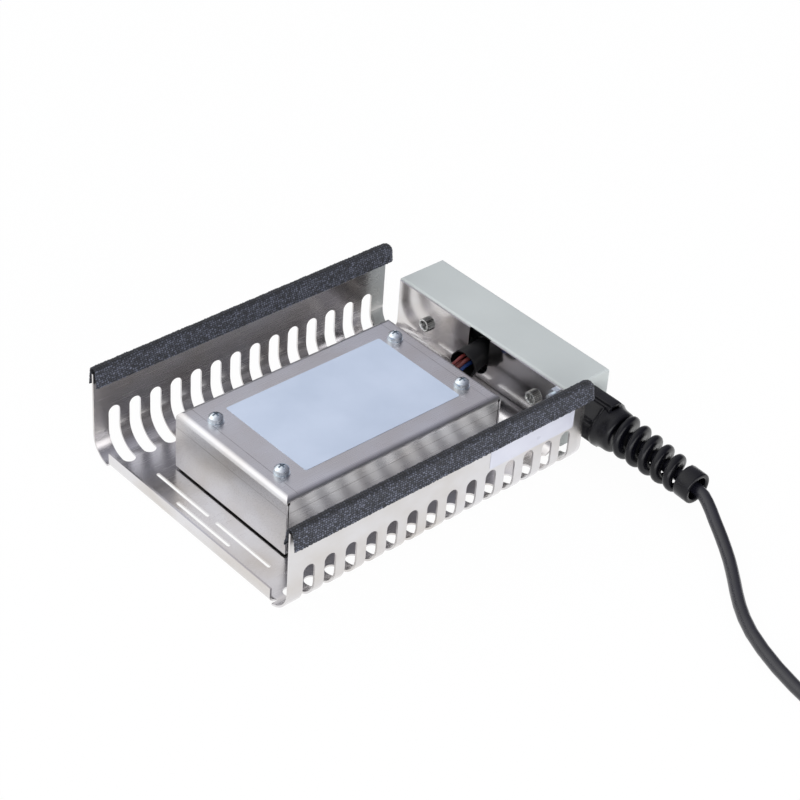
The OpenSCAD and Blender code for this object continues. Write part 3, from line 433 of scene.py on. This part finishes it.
def coil_points(steps=24):
    """Three turns on the floor from the outside in, then one and a half nested on top of them."""
    points = []
    climb_start, climb_end = 2 + 240 / 360, 2 + 320 / 360
    for i in range(round(COIL_TURNS * steps) + 1):
        turns = i / steps
        angle = math.pi + 2 * math.pi * turns
        if turns <= climb_start:
            radius, height = lower_radius(turns), COIL_FLOOR
        else:
            part = turns % 1
            under = [lower_radius(k + part) for k in range(3) if k + part < climb_start]
            if turns < climb_end:
                lift = math.radians(60) * eased((turns - climb_start) / (climb_end - climb_start))
                radius = COIL_R - CORD_D * math.cos(lift)
                height = COIL_FLOOR + CORD_D * math.sin(lift)
            else:
                radius = COIL_R - CORD_D / 2 + CORD_D * eased((turns - 3 - 240 / 360) * 360 / 80)
                height = max(COIL_FLOOR + math.sqrt(max(CORD_D ** 2 - (radius - u) ** 2, 0)) for u in under)
        points.append((COIL_AT[0] + radius * math.cos(angle), COIL_AT[1] + radius * math.sin(angle), height))
    return points


def smooth_route(points, steps):
    """The same smooth curve through the route's points as the CAD source sweeps."""
    out = []
    for i in range(len(points) - 1):
        a, b, c, d = (Vector(points[min(max(i + k, 0), len(points) - 1)]) for k in (-1, 0, 1, 2))
        for k in range(steps):
            t = k / steps
            out.append(0.5 * (
                2 * b + (c - a) * t + (2 * a - 5 * b + 4 * c - d) * t ** 2 + (3 * b - a - 3 * c + d) * t ** 3))
    return out + [Vector(points[-1])]


def cord_line():
    """The whole cord in metres: through the boot, free to the coil, round its turns and into the plug."""
    inside = [CORD_EXIT, (BOOT_X, BOX_END - NECK_L / 3, GLAND_Z)]
    inside += [on_boot_axis(BOOT_L * k / 3) for k in range(4)]
    rest = CORD_D / 2
    free = [
        (BOOT_MOUTH[0] + dx, BOOT_MOUTH[1] + dy, rest + share * (BOOT_MOUTH[2] - rest))
        for dx, dy, share in CORD_PATH]
    coil = coil_points()
    coil_z = coil[-1][2]
    x, y, z = PLUG_AT
    tail = [
        (x, y - TAIL_L * 2 / 3, coil_z), (x, y - TAIL_L / 3, (coil_z + z) / 2), PLUG_AT, (x, y + PLUG_GRIP, z)]
    route = smooth_route(inside + free, 2)
    return [Vector(p) * MM for p in route[:-1] + coil + smooth_route(tail, 2)]


cord_route = cord_line()
mains_cord = keep_as(
    tube_piece("mains_cord", [cord_route], CORD_D, CORD_SKIN), "cable", "cable_coil", "cable_tail",
    slot="black_rubber")


# Strain relief: block with latch, round body, spiral and collar
def boot_turn():
    """From the spiral's own axis, along Z, to its place behind the block."""
    return Matrix.Translation(Vector((BOOT_X, BOX_END - NECK_L, GLAND_Z)) * MM) @ Matrix.Rotation(
        math.radians(90) + DROOP, 4, "X")


def turned(shape, outline):
    """Spins a closed outline of (radius, height) points in millimetres once round Z."""
    corners = [shape.verts.new((r * MM, 0, z * MM)) for r, z in outline]
    edges = [shape.edges.new(pair) for pair in zip(corners, corners[1:] + corners[:1])]
    bmesh.ops.spin(
        shape, geom=corners + edges, cent=(0, 0, 0), axis=(0, 0, 1), angle=math.tau, steps=64, use_merge=True)


def cut_across(shape, skipped, point, normal):
    """Cuts the block, not the turned parts, with a plane."""
    faces = [f for f in shape.faces if f not in skipped]
    geom = faces + list({e for f in faces for e in f.edges}) + list({v for f in faces for v in f.verts})
    bmesh.ops.bisect_plane(shape, geom=geom, plane_co=point, plane_no=normal, dist=1e-7)


BODY_DROP, COLLAR_L = 0.8, 8.6
BODY_OUTLINE = (
    (3.7, -1.5), (12.2, -1.5), (12.1, 0.0), (11.5, 1.2), (11.1, 2.6), (10.9, 4.4), (10.8, 6.6), (10.5, 7.8),
    (9.8, 8.6), (8.8, 9.0), (3.7, 9.0))
# Block: half width, half height, its upper and lower corners, and the rounding of its edges
BLOCK_HALF, BLOCK_TOP, SHOULDER, FOOT, BLOCK_ROUND = 10.5, 11.5, 5.5, 4.4, 0.45
# Crest on the block: width and height of its two steps, how far it reaches over the body, how deep it sinks in
CREST_STEPS, CREST_OVER, CREST_SUNK = ((8.4, 0.8), (5.8, 1.8)), 2.8, 2
# Latch windows: heights, half height, both ends along the block, rim and depth
LATCH_HEIGHTS, LATCH_HALF, LATCH_RIM, LATCH_DEPTH = (4.5, 1.0), 0.9, 0.15, 0.9
LATCH_START, LATCH_END = NECK_L - 8.5, NECK_L - 1.5


def make_boot():
    """The boot without its spiral: round body and collar on the drooping axis, and the block with its latch."""
    shape = bmesh.new()
    turned(shape, BODY_OUTLINE)
    bmesh.ops.translate(shape, vec=(0, -BODY_DROP * MM, 0), verts=shape.verts)
    start, end = BOOT_L - COLLAR_L, BOOT_L
    turned(shape, (
        (5.7, start), (7.5, start), (7.95, start + 0.2), (8.1, start + 0.7), (8.1, end - 0.8),
        (7.95, end - 0.3), (7.5, end), (6.4, end), (5.9, end - 0.3), (5.7, end - 0.9)))
    bmesh.ops.transform(shape, matrix=boot_turn(), verts=shape.verts)
    turned_faces = set(shape.faces)

    half, top = BLOCK_HALF, BLOCK_TOP
    outline = (
        (-half + FOOT, -top), (half - FOOT, -top), (half, -top + FOOT), (half, top - SHOULDER),
        (half - SHOULDER, top), (-half + SHOULDER, top), (-half, top - SHOULDER), (-half, -top + FOOT))
    corners = [shape.verts.new(Vector((BOOT_X + x, BOX_END, GLAND_Z + z)) * MM) for x, z in outline]
    front = shape.faces.new(corners)
    pushed = bmesh.ops.extrude_face_region(shape, geom=[front])["geom"]
    bmesh.ops.translate(shape, vec=(0, -NECK_L * MM, 0), verts=verts_of(pushed))
    crest_l = NECK_L + CREST_OVER
    for width, height in CREST_STEPS:
        middle = Vector((BOOT_X, BOX_END - crest_l / 2, GLAND_Z + top + (height - CREST_SUNK) / 2))
        size = Matrix.Diagonal((width * MM, crest_l * MM, (height + CREST_SUNK) * MM, 1))
        bmesh.ops.create_cube(shape, size=1, matrix=Matrix.Translation(middle * MM) @ size)
    block = [f for f in shape.faces if f not in turned_faces]
    block_edges = {e for f in block for e in f.edges}
    sharp = [e for e in block_edges if len(e.link_faces) == 2 and e.calc_face_angle() > 0.3]
    bmesh.ops.bevel(
        shape, geom=sharp, offset=BLOCK_ROUND * MM, offset_type="OFFSET", affect="EDGES", segments=3,
        profile=0.5, material=-1, clamp_overlap=True)

    # Latch windows: two bars pressed into each side of the block
    for height in LATCH_HEIGHTS:
        for edge in (height - LATCH_HALF, height + LATCH_HALF):
            cut_across(shape, turned_faces, (0, 0, (GLAND_Z + edge) * MM), (0, 0, 1))
    for edge in (LATCH_END, LATCH_START):
        cut_across(shape, turned_faces, (0, (BOX_END - edge) * MM, 0), (0, 1, 0))
    pressed = []
    for face in shape.faces:
        middle = face.calc_center_median() / MM
        on_side = abs(abs(middle.x - BOOT_X) - half) < 0.05
        in_length = LATCH_START < BOX_END - middle.y < LATCH_END
        if on_side and in_length and any(abs(middle.z - GLAND_Z - h) < LATCH_HALF for h in LATCH_HEIGHTS):
            pressed.append(face)
    bmesh.ops.inset_individual(shape, faces=pressed, thickness=LATCH_RIM * MM, depth=-LATCH_DEPTH * MM)
    bmesh.ops.recalc_face_normals(shape, faces=shape.faces)
    piece = mesh_piece("boot", shape, RUBBER)
    return keep_as(piece, "strain_relief", slot="black_rubber")


def make_spiral():
    """Open spiral of the boot: a deep tapered rib that grows out of the body and ends inside the collar."""
    turns, pitch, start = 5.85, 7.9, 3.8
    inner, inner_end, outer, outer_end, hidden = 4.0, 6.0, 11.0, 8.65, 7.7
    # Shares of its length: where it has grown out of the body, where it sinks into the collar and how fast
    grown, sinking, sink_run = 0.1, 0.93, 0.07
    # Half thickness of the rib at shares of its depth
    flank = ((0.0, 2.5), (0.45, 2.25), (0.75, 1.95), (0.9, 1.45), (0.98, 0.8))
    rib = [(s, -h) for s, h in flank] + [(1.0, 0.0)] + [(s, h) for s, h in reversed(flank)]
    shape = bmesh.new()
    corners = [shape.verts.new((0, (inner + (outer - inner) * s) * MM, (start + h) * MM)) for s, h in rib]
    edges = [shape.edges.new(pair) for pair in zip(corners, corners[1:] + corners[:1])]
    steps = round(turns * 40)
    bmesh.ops.spin(
        shape, geom=corners + edges, cent=(0, 0, 0), axis=(0, 0, 1), dvec=(0, 0, turns * pitch / steps * MM),
        angle=math.tau * turns, steps=steps)
    bmesh.ops.holes_fill(shape, edges=[e for e in shape.edges if e.is_boundary])
    for vert in shape.verts:
        radius = math.hypot(vert.co.x, vert.co.y) / MM
        share = min(max((vert.co.z / MM - start) / (turns * pitch), 0.0), 1.0)
        low = inner + (inner_end - inner) * share ** 2
        high = outer + (outer_end - outer) * share
        buried = max(1 - share / grown, (share - sinking) / sink_run, 0.0)
        high -= (high - hidden) * eased(buried)
        narrowed = low + (radius - inner) * (high - low) / (outer - inner)
        vert.co.x *= narrowed / radius
        vert.co.y *= narrowed / radius
    bmesh.ops.transform(shape, matrix=boot_turn(), verts=shape.verts)
    bmesh.ops.recalc_face_normals(shape, faces=shape.faces)
    return keep_as(mesh_piece("boot_spiral", shape, RUBBER), "strain_relief", slot="black_rubber")


boot = make_boot()
boot_spiral = make_spiral()


# Leads: the CAD source's routes from the heater through bush and sleeve to the clamps
def lead_line(start_x, y0, z0, dy, dz, clamp):
    """One lead in metres, from its start to a clamp counted from 0; dy and dz keep it apart from the others."""
    clamp_step, clamp_middle = 8.5, 1.5
    bush_x, exit_z, sleeve_z, hole_z, clamp_x = 51.15, 20.0, 24.0, 11.7, 91.8
    sleeve_x0, sleeve_x1 = 67.0, 81.0
    y1 = (clamp - clamp_middle) * clamp_step
    route = [
        (start_x, y0, z0), (start_x + 3, y0, z0 + 0.3),
        ((start_x + bush_x) / 2, (y0 + dy) / 2, (z0 + exit_z + dz) / 2),
        (bush_x - 4, dy, exit_z + dz), (bush_x + 3, dy, exit_z + dz),
        ((bush_x + sleeve_x0) / 2 + 2, dy, (exit_z + sleeve_z) / 2 + dz),
        (sleeve_x0, dy, sleeve_z + dz), (sleeve_x1, dy, sleeve_z + dz),
        (sleeve_x1 + 4, (dy + y1) / 2, (sleeve_z + dz + hole_z) / 2),
        (clamp_x - 2, y1, hole_z), (clamp_x + 1.5, y1, hole_z),
    ]
    return [p * MM for p in smooth_route(route, 6)]


LEAD_X, LEAD_Z, LEAD_D, APART = 34.66, 10.2, 1.8, 1.7
SENSOR_X, SENSOR_Y, SENSOR_Z = 36.65, -8, 5.0
red_lines = [
    lead_line(LEAD_X, 10, LEAD_Z, APART, APART, 3), lead_line(LEAD_X, 4, LEAD_Z, APART, -APART, 2)]
dark_red_line = lead_line(LEAD_X, -4, LEAD_Z, -APART, APART, 0)
blue_line = lead_line(SENSOR_X, SENSOR_Y, SENSOR_Z, -APART, -APART, 1)
keep_as(
    tube_piece("red_lead_pair", red_lines, LEAD_D, RED_SILICONE), "red_leads", slot="red_silicone")
keep_as(
    tube_piece("dark_red_lead", [dark_red_line], LEAD_D, BROWN_SILICONE), "brown_lead", slot="brown_silicone")
keep_as(
    tube_piece("blue_sensor_lead", [blue_line], LEAD_D, BLUE_SILICONE), "blue_lead", slot="blue_silicone")


# Sleeve
def make_sleeve():
    """A soft wide hose end round the leads, flared and a little crumpled at its mouth."""
    mouth_x, end_x, notch_x, notch_z, droop, loose_l = 65.0, 81.0, 76.0, 24.0, 0.2, 11.0
    rows = ((0.0, 8.1), (0.5, 8.2), (2.0, 7.9), (4.5, 7.4), (7.5, 6.9), (11.0, 6.6), (end_x - mouth_x, 6.5))
    shape = bmesh.new()
    corners = [shape.verts.new((run * MM, 0, radius * MM)) for run, radius in rows]
    edges = [shape.edges.new(pair) for pair in zip(corners, corners[1:])]
    bmesh.ops.spin(
        shape, geom=corners + edges, cent=(0, 0, 0), axis=(1, 0, 0), angle=math.tau, steps=48, use_merge=True)
    for vert in shape.verts:
        run, y, z = vert.co / MM
        loose = max(1 - run / loose_l, 0.0)
        wide_folds = noise.noise((y * 0.22, z * 0.22, 4.0))
        small_folds = noise.noise((run * 0.5, y * 0.4, z * 0.4))
        fold = 1 + loose * (0.13 * wide_folds + 0.05 * small_folds)
        ragged = 1.6 * loose * noise.noise((y * 0.25, z * 0.25, 9.0))
        x = mouth_x + run + ragged
        height = notch_z + z * fold * (1 - 0.08 * loose) - droop * max(notch_x - x, 0.0)
        vert.co = Vector((x, y * fold, height)) * MM
    bmesh.ops.recalc_face_normals(shape, faces=shape.faces)
    piece = mesh_piece("soft_lead_sleeve", shape, SLEEVE_SKIN)
    wall = piece.modifiers.new("thickness", "SOLIDIFY")
    wall.thickness, wall.offset = 0.7 * MM, -1
    return keep_as(piece, "wire_sleeve", slot="black_fibre")


make_sleeve()


# Panel screws: low knurled heads with a dished face
def make_panel_screws():
    """Both screws lie along X, heads towards the cover; a tooth of the knurl is two steps of the spin."""
    first_place, apart = Vector((75.0, 37.2, 21.4)), 77.0
    teeth, groove, radius, head_h, shank_l = 22, 0.45, 3.6, 2.6, 8.0
    rim_r, dish_r = 3.5, 2.3
    outline = (
        (-head_h + 1.5, 0.0), (-head_h + 1.1, 0.9), (-head_h + 0.9, 2.2), (-head_h, 2.65),
        (-head_h - 0.05, 2.85), (-head_h, 3.2), (-head_h + 0.25, radius), (-0.05, radius), (0.0, 3.2), (0.0, 1.5),
        (shank_l, 1.5), (shank_l, 0.0))
    shape = bmesh.new()
    layer = shape.verts.layers.float.new("painted_hollow_shade")
    corners = [shape.verts.new((along * MM, 0, r * MM)) for along, r in outline]
    edges = [shape.edges.new(pair) for pair in zip(corners, corners[1:])]
    bmesh.ops.spin(
        shape, geom=corners + edges, cent=(0, 0, 0), axis=(1, 0, 0), angle=math.tau, steps=2 * teeth,
        use_merge=True)
    # The vertex attribute holds painted shade: full in the knurl's grooves, less on its teeth, most of the way in
    # the dish
    for vert in shape.verts:
        out = math.hypot(vert.co.y, vert.co.z) / MM
        step = round(math.atan2(vert.co.y, vert.co.z) / math.tau * 2 * teeth)
        if out > rim_r:
            vert[layer] = 1.0 if step % 2 else 0.45
            if step % 2:
                vert.co *= Vector((1, 1 - groove / out, 1 - groove / out))
        elif out < dish_r:
            vert[layer] = 0.7
            vert.co.x += 0.3 * MM * math.cos(step * math.tau * 2 / teeth)
    bmesh.ops.translate(shape, vec=first_place * MM, verts=shape.verts)
    second = bmesh.ops.duplicate(shape, geom=shape.verts[:] + shape.edges[:] + shape.faces[:])["geom"]
    bmesh.ops.translate(shape, vec=(0, -apart * MM, 0), verts=verts_of(second))
    bmesh.ops.remove_doubles(shape, verts=shape.verts, dist=1e-7)
    bmesh.ops.recalc_face_normals(shape, faces=shape.faces)
    piece = mesh_piece("knurled_panel_screws", shape, SHADED_ZINC, smooth=False)
    return keep_as(piece, "panel_screws", slot="zinc_plated")


make_panel_screws()


# Edge trims: braided edging folded over the walls' upper edges
TRAY_X0 = -104.8
WALL_Y = 72.0
TRIM_L, TRIM_H, TRIM_HALF, TRIM_R, TRIM_END_R = 184.3, 10.7, 2.2, 2.0, 6.0
LOOP_ALONG, LOOP_ROUND, LOOP_H, HEM = 1.35, 1.1, 0.5, 0.9
# Distance of the mesh's points, and the length over which the box end is pinched
TRIM_STEP, PINCH_L = 0.23, 3.2


def folded_place(run):
    """Across, up and outward direction of the trim's section, run along it from the outer lower edge."""
    straight, bend, flat = TRIM_H - TRIM_R, TRIM_R * math.pi / 2, 2 * (TRIM_HALF - TRIM_R)
    run -= HEM
    flip = run > straight + bend + flat / 2
    if flip:
        run = 2 * (straight + bend) + flat - run
    if run < 0:
        across, up, out = TRIM_HALF + run, 0.0, (0.0, -1.0)
    elif run < straight:
        across, up, out = TRIM_HALF, run, (1.0, 0.0)
    elif run < straight + bend:
        angle = (run - straight) / TRIM_R
        out = (math.cos(angle), math.sin(angle))
        across, up = TRIM_HALF - TRIM_R + TRIM_R * out[0], straight + TRIM_R * out[1]
    else:
        across, up, out = TRIM_HALF - TRIM_R - (run - straight - bend), TRIM_H, (0.0, 1.0)
    return (-across, up, (-out[0], out[1])) if flip else (across, up, out)


def loop_height_and_shade(along, run):
    """Height of the braid's loops, staggered from row to row and pulled askew, no two alike; it also sets their
    painted shade and highlight.
    """
    run += 0.45 * noise.noise((along * 0.7, run * 0.7, 3.0))
    along += 0.6 * noise.noise((along * 0.6, run * 0.6, 8.0))
    row = math.floor(run / LOOP_ROUND)
    column = (along + 0.4 * run) / LOOP_ALONG + 0.5 * (row % 2)
    hump = abs(math.sin(math.pi * column)) * abs(math.sin(math.pi * run / LOOP_ROUND))
    share = 0.45 + 0.55 * abs(noise.cell((math.floor(column) + 0.5, row + 0.5, 0.5)))
    return math.sqrt(hump) * share


def make_trim(name, side, foot_z, flare, replaced):
    """One folded strip of edging, its legs standing off the wall: side -1 is near, 1 far."""
    around = 2 * (TRIM_H - TRIM_R + HEM) + TRIM_R * math.pi + 2 * (TRIM_HALF - TRIM_R)
    shape = bmesh.new()
    bmesh.ops.create_grid(
        shape, x_segments=round(TRIM_L / TRIM_STEP), y_segments=round(around / TRIM_STEP), size=0.5)
    layer = shape.verts.layers.float.new("loop_height_and_shade")
    for vert in shape.verts:
        along, run = (vert.co.x + 0.5) * TRIM_L, (vert.co.y + 0.5) * around
        across, up, out = folded_place(run)
        loop = loop_height_and_shade(along, run)
        # Colour attribute: the loops' painted shade and highlight; parts of the fold that face up are made up to
        # 40 % darker
        vert[layer] = loop * (1 - 0.4 * max(out[1], 0.0))
        across += math.copysign(flare * (1 - up / TRIM_H) ** 1.5, across)
        lift = LOOP_H * (loop - 0.75)
        to_end = TRIM_L - along
        corner = max(TRIM_END_R - min(along + 4.0, to_end), 0.0)
        drop = TRIM_END_R - math.sqrt(TRIM_END_R ** 2 - corner ** 2)
        pinch = 0.35 + 0.65 * math.sqrt(max(1 - max(1 - to_end / PINCH_L, 0) ** 2, 0))
        ragged = 0.45 * noise.noise((along * 0.9, 7.0 * side, 1.0)) * max(1 - up / 1.5, 0)
        vert.co = Vector((
            TRAY_X0 + along + 0.15 * noise.noise((run, 5.0, along)),
            side * (WALL_Y + (across + out[0] * lift) * pinch),
            foot_z + up * (1 - drop / TRIM_H) + out[1] * lift + ragged,
        )) * MM
    if side < 0:
        bmesh.ops.reverse_faces(shape, faces=shape.faces)
    return keep_as(mesh_piece(name, shape, BRAID), replaced, slot="braid")


make_trim("near_braid_trim", -1, 39.6, 1.8, "edge_trim_near")
make_trim("far_braid_trim", 1, 40.8, 0.9, "edge_trim_far")


# Label and sticker: thin bare films with rounded corners
FILM_T = 0.15 * MM


def make_film(name, centre, across, up, radius, material, replaced, slot):
    """A rectangle with rounded corners, lying on the face that carries it; across and up are half sizes."""
    shape = bmesh.new()
    out = across.cross(up).normalized()
    place = Matrix((across, up, out)).transposed().to_4x4()
    place = Matrix.Translation(centre) @ place
    bmesh.ops.create_grid(shape, x_segments=1, y_segments=1, size=1, matrix=place)
    bmesh.ops.bevel(
        shape, geom=list(shape.verts), offset=radius, offset_type="OFFSET", affect="VERTICES", segments=6,
        profile=0.5, material=-1)
    raised = bmesh.ops.extrude_face_region(shape, geom=list(shape.faces))["geom"]
    bmesh.ops.translate(shape, vec=out * FILM_T, verts=verts_of(raised))
    bmesh.ops.recalc_face_normals(shape, faces=shape.faces)
    return keep_as(mesh_piece(name, shape, material, smooth=False), replaced, slot=slot)


make_film(
    "bare_label", Vector((-12.55, 0, 33.7)) * MM, Vector((47.4 * MM, 0, 0)), Vector((0, 29.3 * MM, 0)),
    1.0 * MM, FOIL, "rating_label", "label_foil")
make_film(
    "bare_sticker", Vector((41.4, -72.5, 33.05)) * MM, Vector((27.1 * MM, 0, 0)), Vector((0, 0, 7.05 * MM)),
    1.2 * MM, FILM, "side_sticker", "sticker_film")


# Stage and light: white floor, plain pale studio
def make_stage():
    """A floor that is white to the camera, a little below the part."""
    shape = bmesh.new()
    bmesh.ops.create_grid(shape, x_segments=1, y_segments=1, size=6)
    material, tree, out = new_material("white_paper_floor")
    path = add(tree, "ShaderNodeLightPath")
    glossy = path.outputs["Is Glossy Ray"]
    seen = calc(tree, "MAXIMUM", path.outputs["Is Camera Ray"], glossy)
    paper = add(tree, "ShaderNodeBsdfDiffuse", {"Color": linear("#F2F2F2")})
    # The sheet steel mirrors a lit floor a little brighter than the camera's white
    glow = calc(tree, "MULTIPLY_ADD", glossy, 0.25, 1.0)
    white = add(tree, "ShaderNodeEmission", {"Color": (1, 1, 1, 1), "Strength": glow})
    share = calc(tree, "MULTIPLY", seen, 0.97)
    mix = add(tree, "ShaderNodeMixShader", {0: share, 1: paper.outputs[0], 2: white.outputs[0]})
    tree.links.new(mix.outputs[0], out.inputs["Surface"])
    floor = mesh_piece("floor", shape, material)
    floor.location.z = -0.0002


def make_world():
    """Grey studio, brighter behind on the left; the camera itself sees white."""
    world = bpy.data.worlds.new("pale_studio")
    scene.world = world
    world.use_nodes = True
    tree = world.node_tree
    tree.nodes.clear()
    out = add(tree, "ShaderNodeOutputWorld")
    path = add(tree, "ShaderNodeLightPath")
    direction = add(tree, "ShaderNodeTexCoord").outputs["Generated"]
    bright_side = (-0.56, 0.58, 0.59)
    towards = add(tree, "ShaderNodeVectorMath", {0: direction, 1: bright_side}, operation="DOT_PRODUCT")
    share = add(tree, "ShaderNodeMapRange", {0: towards.outputs["Value"], 1: -0.6, 2: 0.95, 3: 0.0, 4: 1.0})
    colour = tones(
        tree, share.outputs[0], (0.0, "#5C5C64"), (0.3, "#7B7B83"), (0.63, "#ABABB4"), (1.0, "#FFFFFF"))
    studio = add(tree, "ShaderNodeBackground", {"Color": colour, "Strength": 1.6})
    white = add(tree, "ShaderNodeBackground", {"Color": (1, 1, 1, 1), "Strength": 1.0})
    to_camera = path.outputs["Is Camera Ray"]
    mix = add(tree, "ShaderNodeMixShader", {0: to_camera, 1: studio.outputs[0], 2: white.outputs[0]})
    tree.links.new(mix.outputs[0], out.inputs["Surface"])


def add_softbox(name, place, aim, size, power):
    """A rectangular lamp: places and size in metres, power in watts."""
    data = bpy.data.lights.new(name, "AREA")
    data.shape = "RECTANGLE"
    data.size, data.size_y = size
    data.energy = power
    lamp = bpy.data.objects.new(name, data)
    lamp.location = place
    lamp.rotation_euler = (Vector(aim) - Vector(place)).to_track_quat("-Z", "Y").to_euler()
    scene.collection.objects.link(lamp)


make_stage()
make_world()
add_softbox("back_left_softbox", (-1.0, 1.0, 1.05), (0, 0, 0.02), (1.4, 1.4), 2)
add_softbox("front_softbox", (-0.45, -1.3, 0.36), (0, 0, 0.02), (2.8, 0.7), 24)

scene.view_settings.view_transform = "Standard"
